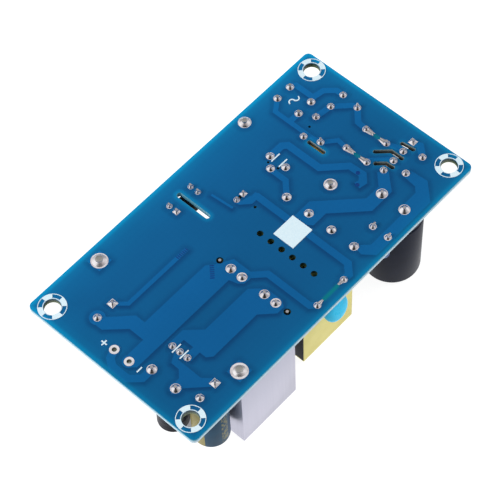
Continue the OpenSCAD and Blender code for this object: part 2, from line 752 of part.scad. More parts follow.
// Moulded box with bevelled edges, hollowed underneath to stand on its rim
module film_capacitor() {
    bevel = 0.6;
    s = film_size;
    body_at = film_at - [0, 0.5];
    color([0.85, 0.7, 0.15]) on_components() difference() {
        translate([body_at.x, body_at.y, 0]) {
            linear_extrude(s.z - bevel) difference() {
                square([s.x, s.y], center = true);
                for (x = [-1, 1], y = [-1, 1]) translate([x * s.x, y * s.y] / 2) rotate(45)
                    square(bevel, center = true);
            }
            linear_extrude(s.z) square([s.x - 2 * bevel, s.y - 2 * bevel], center = true);
        }
        translate([body_at.x, body_at.y, -cut]) linear_extrude(0.4 + cut)
            square([s.x - 2, s.y - 1.6], center = true);
        for (p = film_pins) lead(p, wire_d, 3);
    }
}

module straight_leads() {
    color([0.8, 0.8, 0.78]) on_components() {
        for (p = snubber_pins) lead(p, thin_wire_d, disc_lead_top);
        for (p = concat(varistor_pins, thermistor_pins)) lead(p, wire_d, disc_lead_top);
        for (p = fuse_pins) lead(p, thin_wire_d, 1.3);
        for (p = film_pins) lead(p, wire_d, 3);
    }
}

choke_leg_x = 3.9;
choke_leg_r = 1.7;
choke_base_top = 2;
choke_yoke = 2.6;
choke_h = 15;
choke_split = (choke_base_top + choke_h) / 2;

// Two U halves that meet in the middle of their legs
module choke_core() {
    yoke_l = 2 * (choke_leg_x + choke_leg_r);
    color([0.17, 0.17, 0.18]) on_components() translate([choke_at.x, choke_at.y, 0])
        for (z = [choke_base_top, choke_h - choke_yoke]) {
            translate([-yoke_l / 2, -choke_leg_r, z]) cube([yoke_l, 2 * choke_leg_r, choke_yoke]);
            leg_low = z == choke_base_top ? choke_base_top + choke_yoke : choke_split + 0.02;
            leg_high = z == choke_base_top ? choke_split - 0.02 : choke_h - choke_yoke;
            for (s = [-1, 1]) translate([s * choke_leg_x, 0, leg_low])
                cylinder(r = choke_leg_r, h = leg_high - leg_low);
        }
}

choke_tube_low = choke_base_top + choke_yoke;
choke_tube_high = choke_h - choke_yoke;

// Base with four pin holes, and two flanged tubes for the two windings
module choke_bobbin() {
    base = [15, 10.8];
    low = 0.4;
    tube_r = choke_leg_r + 0.55;
    flange_r = 3.8;
    color([0.1, 0.1, 0.1]) on_components() difference() {
        translate([choke_at.x, choke_at.y, 0]) {
            translate([-base.x / 2, -base.y / 2, low]) cube([base.x, base.y, choke_base_top - low]);
            for (s = [-1, 1], f = [-1, 1]) translate([s * (base.x / 2 - 0.6) - 0.6, -2, choke_base_top])
                cube([1.2, 4, 3]);
            for (s = [-1, 1]) translate([s * choke_leg_x, 0, choke_tube_low]) {
                difference() {
                    union() {
                        cylinder(r = tube_r, h = choke_tube_high - choke_tube_low);
                        cylinder(r = flange_r, h = 0.6);
                        translate([0, 0, choke_tube_high - choke_tube_low - 0.6])
                            cylinder(r = flange_r, h = 0.6);
                    }
                    translate([0, 0, -cut]) cylinder(r = choke_leg_r + 0.05, h = choke_h);
                }
            }
        }
        for (p = choke_pin_list) translate([p.x, p.y, 0]) cylinder(d = wire_d, h = choke_base_top - 0.2);
    }
}

module choke_windings() {
    color([0.72, 0.4, 0.18]) on_components() translate([choke_at.x, choke_at.y, choke_tube_low + 0.6])
        for (s = [-1, 1]) translate([s * choke_leg_x, 0, 0]) difference() {
            cylinder(r = 3.4, h = choke_tube_high - choke_tube_low - 1.2);
            translate([0, 0, -cut]) cylinder(r = choke_leg_r + 0.55, h = choke_h);
        }
}

module choke_pins_set() {
    color([0.8, 0.78, 0.7]) on_components() for (p = choke_pin_list) lead(p, wire_d, choke_base_top - 0.2);
}

// Flat moulded block with one cut corner that marks the positive lead
module bridge_rectifier() {
    l = 14.8;
    t = 3.5;
    low = 3.4;
    h = 11;
    corner = 2.4;
    color([0.1, 0.1, 0.11]) on_components() translate([bridge_at.x, bridge_at.y, low]) rotate([90, 0, 0])
        linear_extrude(t, center = true)
            polygon([[-l / 2, 0], [l / 2, 0], [l / 2, h - corner], [l / 2 - corner, h], [-l / 2, h]]);
}

module bridge_leads() {
    color([0.8, 0.8, 0.78]) on_components()
        for (p = bridge_pins) strip_lead(p.y, [[p.x, -below], [p.x, 3.4]]);
}

terminal_size = [10.4, 13.8, 12.6];
terminal_low = [terminal_at.x - 5.2, 14.6];
cage = [3.2, 9.2, 6];
cage_low = 2.4;
cage_y = [16.1, 25.3];
wire_way = [2.1, 2.8];
clamp_screw_y = 21.2;
clamp_screw_d = 2.5;

// Housing with a wire way and a screw well for each pole
module terminal_housing() {
    color([0.15, 0.5, 0.25]) on_components() difference() {
        translate([terminal_low.x, terminal_low.y, 0]) cube(terminal_size);
        for (p = terminal_front) {
            translate([p.x - cage.x / 2, cage_y[0], cage_low]) cube([cage.x, cage_y[1] - cage_y[0], cage.z]);
            translate([p.x - wire_way.x / 2 - 0.3, cage_y[1] - cut, cage_low + 1]) cube([wire_way.x + 0.6, 8, 3.4]);
            translate([p.x, clamp_screw_y, cage_low + cage.z - cut]) cylinder(d = 3.7, h = 10);
        }
        for (p = concat(terminal_front, terminal_back)) translate([p.x, p.y, -cut])
            cylinder(d = wire_d, h = cage_low + 2 * cut);
        for (x = [terminal_low.x, terminal_low.x + terminal_size.x])
            translate([x, terminal_low.y + 4, -cut]) cylinder(r = 0.7, h = 20, $fn = 24);
    }
}

// Wire cages with their pins
module terminal_clamps() {
    color([0.8, 0.75, 0.6]) on_components() {
        for (p = terminal_front) difference() {
            translate([p.x - cage.x / 2, cage_y[0], cage_low]) cube([cage.x, cage_y[1] - cage_y[0], cage.z]);
            translate([p.x - wire_way.x / 2, cage_y[0] - cut, cage_low + 1.2])
                cube([wire_way.x, cage.y + 2 * cut, wire_way.y]);
            translate([p.x, clamp_screw_y, cage_low + 3]) cylinder(d = clamp_screw_d, h = cage.z);
        }
        for (p = concat(terminal_front, terminal_back)) lead(p, wire_d, cage_low);
    }
}

module terminal_screws() {
    head_low = cage_low + cage.z;
    color([0.7, 0.7, 0.68]) on_components() for (p = terminal_front)
        translate([p.x, clamp_screw_y, 0]) difference() {
            union() {
                translate([0, 0, cage_low + 3.2]) cylinder(d = clamp_screw_d, h = cage.z - 3.2);
                translate([0, 0, head_low]) cylinder(d = 3.4, h = 1.6);
            }
            translate([-2, -0.3, head_low + 0.8]) cube([4, 0.6, 2]);
        }
}

transistor_low = 5.5;
tab_t = 1.3;
moulding_t = 3.2;
moulding_h = 9.2;
tab_h = 15.4;
transistor_w = 10;
insulator_t = 0.25;
bush_t = 0.8;
tab_hole_d = 3.7;
bush_d = [3, 3.6, 6];
function heatsink_screw_z() = transistor_low + tab_h - 2.8;
lead_plane = 2.6;
rectifier_back = heatsink_x - insulator_t;
switch_back = primary_x - insulator_t;

// Moulded body in front of the metal tab, with drafted front edges; its back is at x = 0
module moulding() {
    linear_extrude(moulding_h) polygon([
        [-tab_t, -transistor_w / 2], [-tab_t, transistor_w / 2], [-tab_t - moulding_t, transistor_w / 2 - 0.5],
        [-tab_t - moulding_t, -transistor_w / 2 + 0.5]]);
}

module tab() {
    difference() {
        translate([-tab_t, -transistor_w / 2, 0]) cube([tab_t, transistor_w, tab_h]);
        translate([-tab_t - cut, 0, tab_h - 2.8]) rotate([0, 90, 0]) cylinder(d = tab_hole_d, h = tab_t + 2 * cut);
        for (s = [-1, 1]) translate([-tab_t - cut, s * transistor_w / 2 - 0.6, moulding_h + 0.4])
            cube([tab_t + 2 * cut, 1.2, 1.6]);
    }
}

module switch_transistor() {
    color([0.1, 0.1, 0.1]) on_components() translate([switch_back, switch_at.y, transistor_low]) moulding();
}

module switch_transistor_frame() {
    lead_x = switch_back - lead_plane;
    color([0.72, 0.72, 0.72]) on_components() {
        translate([switch_back, switch_at.y, transistor_low]) tab();
        for (p = switch_outer_pins)
            strip_lead(p.y, [[lead_x, -below], [lead_x, transistor_low]]);
        strip_lead(switch_at.y, [[switch_middle_x, -below], [switch_middle_x, 1.6], [lead_x, 4],
                                 [lead_x, transistor_low]]);
    }
}

module output_rectifier() {
    color([0.1, 0.1, 0.1]) on_components() translate([rectifier_back, rectifier_at.y, transistor_low])
        moulding();
}

module output_rectifier_frame() {
    lead_x = rectifier_back - lead_plane;
    color([0.72, 0.72, 0.72]) on_components() {
        translate([rectifier_back, rectifier_at.y, transistor_low]) tab();
        for (p = rectifier_pins) strip_lead(p.y, [[p.x, -below], [p.x, 2], [lead_x, 3.8],
                                                  [lead_x, transistor_low]]);
    }
}

// The two transistor places: back of the tab and place across the board
transistor_places = [[rectifier_back, rectifier_at.y], [switch_back, switch_at.y]];

module insulating_pads() {
    color([0.75, 0.72, 0.7]) on_components() for (t = transistor_places) difference() {
        translate([t.x, t.y - 5.8, transistor_low - 0.6]) cube([insulator_t, 11.6, tab_h + 1.4]);
        translate([t.x - cut, t.y, heatsink_screw_z()]) rotate([0, 90, 0]) cylinder(d = 3.2, h = 3 * cut);
    }
}

module insulating_bushes() {
    color([0.85, 0.85, 0.8]) on_components() for (t = transistor_places)
        translate([t.x - tab_t, t.y, heatsink_screw_z()]) rotate([0, 90, 0]) difference() {
            union() {
                translate([0, 0, -bush_t]) cylinder(d = bush_d[2], h = bush_t);
                cylinder(d = bush_d[1], h = tab_t - 0.1);
            }
            translate([0, 0, -2 * cut]) cylinder(d = bush_d[0], h = 5);
        }
}

module transistor_screws() {
    color([0.7, 0.7, 0.7]) on_components() for (t = transistor_places)
        translate([t.x - tab_t - bush_t, t.y, heatsink_screw_z()]) rotate([0, 90, 0]) difference() {
            union() {
                translate([0, 0, -2]) cylinder(d = 5.4, h = 2);
                cylinder(d = 2.9, h = bush_t + tab_t + insulator_t + sheet_t + 3.2);
            }
            for (a = [0, 90]) rotate(a) translate([-1.5, -0.35, -2 - cut]) cube([3, 0.7, 1.2 + cut]);
        }
}

module transistor_nuts() {
    color([0.7, 0.7, 0.7]) on_components() for (t = transistor_places)
        translate([t.x + insulator_t + sheet_t, t.y, heatsink_screw_z()]) rotate([0, 90, 0]) difference() {
            cylinder(d = 6.3, h = 2.4, $fn = 6);
            translate([0, 0, -cut]) cylinder(d = 2.9, h = 5);
        }
}

opto_body = [6.4, 4.6, 3.4];

// Moulded block whose side faces slope away from the plane of the leads
module optocoupler() {
    low = 0.5;
    color([0.12, 0.12, 0.12]) on_components() translate([opto_at.x, opto_at.y, low]) difference() {
        rotate([90, 0, 0]) linear_extrude(opto_body.y, center = true) polygon([
            [-opto_body.x / 2 + 0.3, 0], [opto_body.x / 2 - 0.3, 0], [opto_body.x / 2, opto_body.z / 2],
            [opto_body.x / 2 - 0.4, opto_body.z], [-opto_body.x / 2 + 0.4, opto_body.z],
            [-opto_body.x / 2, opto_body.z / 2]]);
        translate([-2.2, 1.3, opto_body.z - 0.2]) cylinder(d = 0.8, h = 1);
    }
}

module optocoupler_leads() {
    bend_z = 0.5 + opto_body.z / 2;
    color([0.8, 0.8, 0.78]) on_components() for (p = opto_pins) {
        side = sign(p.x - opto_at.x);
        strip_lead(p.y, [[p.x, -below], [p.x, bend_z], [opto_at.x + side * (opto_body.x / 2 + 0.05), bend_z]]);
    }
}

inductor_core_r = 2.6;
inductor_low = 1.9;
inductor_flange = 2.2;
// Each wire leans in from its hole to the flange
inductor_entries = [for (y = [-2.4, 2.8]) inductor_centre + [-0.3, y]];
inductor_wires = [for (i = [0, 1]) [
    [inductor_pins[i].x, inductor_pins[i].y, -below], [inductor_pins[i].x, inductor_pins[i].y, 0.5],
    [inductor_entries[i].x, inductor_entries[i].y, 1.2], [inductor_entries[i].x, inductor_entries[i].y, inductor_low]]];

// Drum core: a spool with two thick flanges
module output_inductor() {
    r = inductor_d / 2 - 0.25;
    color([0.15, 0.15, 0.17]) on_components() translate([inductor_centre.x, inductor_centre.y, 0])
        rotate_extrude($fn = 48) polygon([
            [0, inductor_low], [r, inductor_low], [r, inductor_low + inductor_flange],
            [inductor_core_r, inductor_low + inductor_flange], [inductor_core_r, inductor_h - inductor_flange],
            [r, inductor_h - inductor_flange], [r, inductor_h - 0.5], [r - 0.5, inductor_h], [0, inductor_h]]);
}

// Winding with its black sleeve, between and round the flanges
module inductor_windings() {
    r = inductor_d / 2;
    low = inductor_low + inductor_flange;
    high = inductor_h - inductor_flange;
    color([0.13, 0.13, 0.14]) on_components() translate([inductor_centre.x, inductor_centre.y, 0])
        rotate_extrude($fn = 48) polygon([
            [inductor_core_r, low], [r - 0.25, low], [r - 0.25, inductor_low + 0.5], [r, inductor_low + 0.5],
            [r, inductor_h - 0.7], [r - 0.25, inductor_h - 0.7], [r - 0.25, high], [inductor_core_r, high]]);
}

module inductor_leads() {
    color([0.8, 0.8, 0.78]) on_components() for (w = inductor_wires) wire(w, wire_d);
}

// Small flat package with bent leads on two sides
module flat_package(at, size, n, pitch) {
    translate([at.x, at.y, 0]) {
        translate([-size.x / 2, -size.y / 2, 0.15]) cube(size);
        for (s = [-1, 1], i = [0 : n - 1]) translate([0, (i - (n - 1) / 2) * pitch, 0]) {
            translate([s > 0 ? size.x / 2 : -size.x / 2 - 0.6, -0.2, 0.6]) cube([0.6, 0.4, 0.2]);
            translate([s > 0 ? size.x / 2 + 0.4 : -size.x / 2 - 0.6, -0.2, 0]) cube([0.2, 0.4, 0.8]);
            translate([s > 0 ? size.x / 2 + 0.4 : -size.x / 2 - 1, -0.2, 0]) cube([0.6, 0.4, 0.2]);
        }
    }
}

module controller_chip() {
    color([0.12, 0.12, 0.12]) on_components() flat_package(controller_at, [3.9, 4.9, 1.4], 4, 1.27);
}

module shunt_regulator() {
    color([0.12, 0.12, 0.12]) on_components() flat_package(regulator_at, [1.4, 2.9, 1], 2, 1.9);
}

// Chip resistors and capacitors: a body between two raised ends
module chip_parts() {
    color([0.25, 0.2, 0.18]) on_components() for (c = chips_at) translate([c.x, c.y, 0]) {
        translate([-chip_size.x / 2, -chip_size.y / 2, 0.05]) cube([chip_size.x, chip_size.y, chip_size.z - 0.1]);
        for (s = [-1, 1]) translate([s * (chip_size.x / 2 - 0.2) - 0.2, -chip_size.y / 2 - 0.03, 0])
            cube([0.4, chip_size.y + 0.06, chip_size.z]);
    }
}

circuit_board();
copper_tracks();
copper_pads();
white_print();
solder_joints();
output_heatsink();
primary_heatsink();
heatsink_pins();
transformer_core_lower();
transformer_core_upper();
transformer_bobbin();
transformer_windings();
transformer_tape();
transformer_pins();
bulk_capacitor();
output_capacitor(0);  // output_capacitor_far
output_capacitor(1);  // output_capacitor_near
bias_capacitor();
capacitor_seals();
capacitor_leads();
disc_capacitor();
film_capacitor();
snubber_capacitor();
varistor();
thermistor();
fuse();
straight_leads();
disc_capacitor_leads();
choke_core();
choke_bobbin();
choke_windings();
choke_pins_set();
bridge_rectifier();
bridge_leads();
terminal_housing();
terminal_clamps();
terminal_screws();
switch_transistor();
switch_transistor_frame();
output_rectifier();
output_rectifier_frame();
insulating_pads();
insulating_bushes();
transistor_screws();
transistor_nuts();
optocoupler();
optocoupler_leads();
output_inductor();
inductor_windings();
inductor_leads();
controller_chip();
shunt_regulator();
chip_parts();
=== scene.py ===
import math

import bmesh
import bpy
import numpy as np
from mathutils import Matrix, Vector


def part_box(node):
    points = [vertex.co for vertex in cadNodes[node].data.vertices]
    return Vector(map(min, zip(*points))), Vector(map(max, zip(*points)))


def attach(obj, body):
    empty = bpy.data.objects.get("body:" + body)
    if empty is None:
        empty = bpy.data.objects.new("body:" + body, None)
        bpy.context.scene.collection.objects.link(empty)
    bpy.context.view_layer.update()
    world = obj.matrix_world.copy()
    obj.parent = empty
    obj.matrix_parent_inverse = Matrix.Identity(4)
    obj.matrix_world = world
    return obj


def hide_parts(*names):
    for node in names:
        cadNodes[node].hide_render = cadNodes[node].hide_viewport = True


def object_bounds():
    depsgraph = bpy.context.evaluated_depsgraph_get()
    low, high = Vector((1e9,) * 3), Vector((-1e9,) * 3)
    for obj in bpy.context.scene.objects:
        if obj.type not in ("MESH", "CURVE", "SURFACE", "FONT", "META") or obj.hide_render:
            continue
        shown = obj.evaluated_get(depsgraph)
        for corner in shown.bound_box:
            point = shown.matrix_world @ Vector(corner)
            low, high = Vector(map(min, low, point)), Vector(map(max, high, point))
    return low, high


# An open frame power supply that lies on its two heatsinks, solder side up.
# Lengths are written in millimetres and multiplied by mm where a mesh is made.
mm = 0.001
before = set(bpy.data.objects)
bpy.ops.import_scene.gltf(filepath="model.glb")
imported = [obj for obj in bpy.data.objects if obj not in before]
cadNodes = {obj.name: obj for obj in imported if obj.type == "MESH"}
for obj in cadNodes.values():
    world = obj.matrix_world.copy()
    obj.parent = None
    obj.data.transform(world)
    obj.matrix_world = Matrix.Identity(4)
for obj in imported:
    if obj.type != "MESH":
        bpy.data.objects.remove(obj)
cadBox = [list(corner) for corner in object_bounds()]
dice = np.random.default_rng(7)
print("frame loaded:", len(cadNodes), "nodes")


def placed(name, data, place=None, axes=None):
    # A new object of the scene, which may stand at a place with its axes along three directions.
    made = bpy.data.objects.new(name, data)
    bpy.context.scene.collection.objects.link(made)
    if axes is not None:
        made.matrix_world = Matrix.Translation([c * mm for c in place]) @ Matrix(axes).transposed().to_4x4()
    return made


# camera
cameraView = {
    "place": (-192.33, -190.19, 422.67),
    # where its right, its top and its back point
    "axes": [(0.67217, -0.7398, -0.02973), (0.63728, 0.55764, 0.53189), (-0.37691, -0.37646, 0.84629)],
    "lens": 142.06,
    "sensor": 36,
    "clip": (0.01, 20),
}


def placeCamera():
    data = bpy.data.cameras.new("camera")
    data.lens, data.sensor_width = cameraView["lens"], cameraView["sensor"]
    data.clip_start, data.clip_end = cameraView["clip"]
    bpy.context.scene.camera = placed("camera", data, cameraView["place"], cameraView["axes"])


placeCamera()
print("camera placed")


# shader maths
def mathsMethod(operation, last=False):
    # A method of Wire that adds one Math node, with the wire itself as the first or the last value.
    def method(wire, *others):
        return wire.tree.maths(operation, *((*others, wire) if last else (wire, *others)))
    return method


class Wire:
    # A socket of a node; arithmetic on it adds Math nodes.

    def __init__(self, tree, socket):
        self.tree, self.socket = tree, socket

    __add__ = __radd__ = mathsMethod("ADD")
    __sub__, __rsub__ = mathsMethod("SUBTRACT"), mathsMethod("SUBTRACT", True)
    __mul__ = __rmul__ = mathsMethod("MULTIPLY")
    __lt__, __gt__ = mathsMethod("LESS_THAN"), mathsMethod("GREATER_THAN")
    __abs__ = mathsMethod("ABSOLUTE")
    lower, higher = mathsMethod("MINIMUM"), mathsMethod("MAXIMUM")

    def between(self, low, high):
        # 0 below low, 1 above high, with a soft step from one to the other.
        settings = {"interpolation_type": "SMOOTHSTEP"}
        return self.tree.node("MapRange", settings, {"Value": self, "From Min": low, "From Max": high})


class Tree:
    # The nodes of a material or of the world.

    def __init__(self, owner):
        owner.use_nodes = True
        self.nodes, self.links = owner.node_tree.nodes, owner.node_tree.links

    def feed(self, socket, value):
        if isinstance(value, Wire):
            self.links.new(value.socket, socket)
        elif isinstance(value, (tuple, list)) and len(value) < len(socket.default_value):
            socket.default_value = (*value, 1)
        else:
            socket.default_value = value

    def node(self, kind, settings=None, inputs=None, output=0):
        # Any node: its type, its settings, which are set first, and the values or links of its sockets.
        made = self.nodes.new("ShaderNode" + kind)
        for key, value in (settings or {}).items():
            if key == "stops":
                while len(made.color_ramp.elements) < len(value):
                    made.color_ramp.elements.new(1)
                for element, (place, color) in zip(made.color_ramp.elements, value):
                    element.position, element.color = place, (*color, 1)
            else:
                setattr(made, key, value)
        for key, value in (inputs or {}).items():
            self.feed(made.inputs[key], value)
        return Wire(self, made.outputs[output])

    def maths(self, operation, *values):
        return self.node("Math", {"operation": operation}, dict(enumerate(values)))

    def axes(self, vector, names):
        return [self.node("SeparateXYZ", inputs={0: vector}, output=name) for name in names]

    def blend(self, amount, first, second, mode="MIX"):
        # Colour first, moved towards second by an amount from 0 to 1.
        settings = {"data_type": "RGBA", "blend_type": mode}
        return self.node("Mix", settings, {0: amount, 6: first, 7: second}, output=2)


class Finish(Tree):
    # A material: one Principled shader and whatever feeds it.

    def __init__(self, name, color, roughness, **constants):
        self.material = bpy.data.materials.new(name)
        super().__init__(self.material)
        self.coordinates = self.node("TexCoord", output="Object")
        self.give(Base_Color=color, Roughness=roughness, **constants)

    def give(self, **values):
        for name, value in values.items():
            self.feed(self.nodes["Principled BSDF"].inputs[name.replace("_", " ")], value)

    def paint(self, color):
        self.give(Base_Color=color)

    def gloss(self, roughness):
        self.give(Roughness=roughness)

    def bump(self, height, distance, strength):
        self.give(Normal=self.node("Bump", inputs={"Height": height, "Distance": distance * mm, "Strength": strength}))

    def objectPlace(self, centre=(0, 0, 0), scale=(1, 1, 1)):
        # Object coordinates, in metres, measured from a centre that is given in millimetres.
        shift = [-c * mm * s for c, s in zip(centre, scale)]
        return self.node("Mapping", inputs={"Vector": self.coordinates, "Location": shift, "Scale": scale})

    def noise(self, vector, perMetre, detail):
        return self.node("TexNoise", inputs={"Vector": vector, "Scale": perMetre, "Detail": detail})


def mottledFinish(name, colors, roughness, spots, relief, stretch=(1, 1, 1), **constants):
    # A surface that drifts between two colours in soft spots. Spots: how many to a metre, their detail, the levels
    # where one colour ends and the other begins, how much of it shows, and what it adds to the roughness.
    # Relief: the same first two for a grain of its own, or 0 where the spots are the relief, its depth and strength.
    finish = Finish(name, colors[0], roughness, **constants)
    perMetre, detail, low, high, share, rougher = spots
    mottle = finish.noise(finish.objectPlace(), perMetre, detail)
    finish.paint(finish.blend(mottle.between(low, high) * share, *colors))
    if rougher:
        finish.gloss(roughness + mottle * rougher)
    grain, fine, depth, strength = relief
    finish.bump(finish.noise(finish.objectPlace(scale=stretch), grain, fine) if grain else mottle, depth, strength)
    return finish


# meshes
def painted(mesh, finishes):
    mesh.materials.clear()
    for finish in finishes:
        mesh.materials.append(finish.material)


def smoothed(mesh, below):
    # Smooth, except at edges sharper than an angle in degrees.
    mesh.polygons.foreach_set("use_smooth", np.ones(len(mesh.polygons), dtype=bool))
    mesh.set_sharp_from_angle(angle=math.radians(below))


def reworked(mesh, change):
    # The mesh after a change that bmesh makes to it.
    work = bmesh.new()
    work.from_mesh(mesh)
    change(work)
    work.to_mesh(mesh)
    work.free()


def gridFaces(rows, columns, closed, looped):
    # Quads of a grid of points; each row may close on itself, and the last row may join the first.
    row = np.arange(rows if looped else rows - 1)[:, None]
    column = np.arange(columns if closed else columns - 1)
    here, after = row * columns, (row + 1) % rows * columns
    beside = (column + 1) % columns
    return np.stack([here + column, here + beside, after + beside, after + column], -1).reshape(-1, 4)


class Shape:
    # Grids of points, in millimetres, gathered into one mesh.

    def __init__(self):
        self.points, self.faces, self.kinds, self.count = [], [], [], 0

    def add(self, grid, closed=True, capLow=False, capHigh=False, kind=0, flip=False, looped=False):
        rows, columns = grid.shape[:2]
        made = (gridFaces(rows, columns, closed, looped) + self.count).tolist()
        if capLow:
            made.append([self.count + i for i in range(columns - 1, -1, -1)])
        if capHigh:
            made.append([self.count + (rows - 1) * columns + i for i in range(columns)])
        if flip:
            made = [f[::-1] for f in made]
        self.points.append(grid.reshape(-1, 3))
        self.faces += made
        self.kinds += [kind] * len(made)
        self.count += rows * columns

    def stood(self, name, finishes, smoothBelow):
        mesh = bpy.data.meshes.new(name)
        mesh.from_pydata((np.concatenate(self.points) * mm).tolist(), [], self.faces)
        painted(mesh, finishes)
        mesh.polygons.foreach_set("material_index", np.array(self.kinds, dtype=np.int32))
        smoothed(mesh, smoothBelow)
        mesh.update()
        return placed(name, mesh)

    def piece(self, name, finishes, smoothBelow):
        piece = self.stood(name, finishes, smoothBelow)
        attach(piece, "root")
        return piece


def circle(count):
    return np.linspace(0, 2 * np.pi, count, endpoint=False)


def quarter(centre, radius, quarters, count=7):
    # Points on a quarter circle that begins a number of quarter turns round.
    angle = (np.linspace(0, 1, count) + quarters) * np.pi / 2
    return centre + radius * np.stack([np.cos(angle), np.sin(angle)], 1)


def turned(profile, centre, around):
    # A profile of (radius, height) carried round the upright line through centre: x = r cos a, y = r sin a.
    profile = np.asarray(profile, dtype=float)
    angle = circle(around)
    grid = np.empty((len(profile), around, 3))
    grid[..., 0] = centre[0] + profile[:, :1] * np.cos(angle)
    grid[..., 1] = centre[1] + profile[:, :1] * np.sin(angle)
    grid[..., 2] = profile[:, 1:]
    return grid


def tube(path, radius, around=12):
    # Circles carried along a path of points; each circle stands square to the path there.
    along = np.gradient(path, axis=0)
    along /= np.linalg.norm(along, axis=1, keepdims=True)
    helper = np.where(np.abs(along[:, :1]) > 0.8, [[0.0, 1.0, 0.0]], [[1.0, 0.0, 0.0]])
    side = np.cross(along, helper)
    side /= np.linalg.norm(side, axis=1, keepdims=True)
    other = np.cross(along, side)
    angle = circle(around)[:, None]
    return path[:, None] + radius[:, None, None] * (np.cos(angle) * side[:, None] + np.sin(angle) * other[:, None])


def smoothPath(points, count):
    # A smooth line through points: between each two a cubic whose slope at a point is set by its neighbours.
    p = np.asarray(points, dtype=float)
    p = np.concatenate([[2 * p[0] - p[1]], p, [2 * p[-1] - p[-2]]])
    t = np.linspace(0, len(p) - 3, count)
    i = np.minimum(t.astype(int), len(p) - 4)
    u = (t - i)[:, None]
    a, b, c, d = p[i], p[i + 1], p[i + 2], p[i + 3]
    return 0.5 * (2 * b + (c - a) * u + (2 * a - 5 * b + 4 * c - d) * u**2 + (3 * b - a - 3 * c + d) * u**3)


# CAD nodes, and copies of them with worn-in edges
copyLook = {"mergeBelow": 2e-6, "flatBelow": 0.5, "bevelAbove": 40, "segments": 2, "smoothBelow": 30}


def nodeBox(node):
    # A node's lowest and highest corner, in millimetres.
    return [np.array(corner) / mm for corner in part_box(node)]


def merged(node):
    # A node's loose triangles, joined.
    work = bmesh.new()
    work.from_mesh(cadNodes[node].data)
    bmesh.ops.remove_doubles(work, verts=work.verts, dist=copyLook["mergeBelow"])
    return work


def nodeIslands(node):
    # The box (lowest and highest corner, in millimetres) of each separate solid of a node.
    work = merged(node)
    seen, boxes = set(), []
    for first in work.verts:
        if first.index in seen:
            continue
        queue, found = [first], []
        seen.add(first.index)
        while queue:
            vertex = queue.pop()
            found.append(vertex.co[:])
            for edge in vertex.link_edges:
                other = edge.other_vert(vertex)
                if other.index not in seen:
                    seen.add(other.index)
                    queue.append(other)
        found = np.array(found) / mm
        boxes.append((found.min(0), found.max(0)))
    work.free()
    return boxes


def dressed(node, name, finishes, bevel=0.0, pick=None):
    # A merged copy of a CAD node with its flat faces joined and its edges bevelled.
    work = merged(node)
    flat = math.radians(copyLook["flatBelow"])
    bmesh.ops.dissolve_limit(work, angle_limit=flat, verts=work.verts, edges=work.edges)
    mesh = bpy.data.meshes.new(name)
    work.to_mesh(mesh)
    work.free()
    painted(mesh, finishes)
    piece = placed(name, mesh)
    if pick is not None:
        centres, normals = np.empty((2, len(mesh.polygons), 3))
        mesh.polygons.foreach_get("center", centres.ravel())
        mesh.polygons.foreach_get("normal", normals.ravel())
        mesh.polygons.foreach_set("material_index", pick(centres / mm, normals).astype(np.int32))
    if bevel:
        edge = piece.modifiers.new("bevel", "BEVEL")
        edge.width, edge.segments = bevel * mm, copyLook["segments"]
        edge.limit_method, edge.angle_limit = "ANGLE", math.radians(copyLook["bevelAbove"])
        edge.use_clamp_overlap = True
    piece.data = bpy.data.meshes.new_from_object(piece.evaluated_get(bpy.context.evaluated_depsgraph_get()))
    piece.modifiers.clear()
    smoothed(piece.data, copyLook["smoothBelow"])
    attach(piece, "root")
    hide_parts(node)


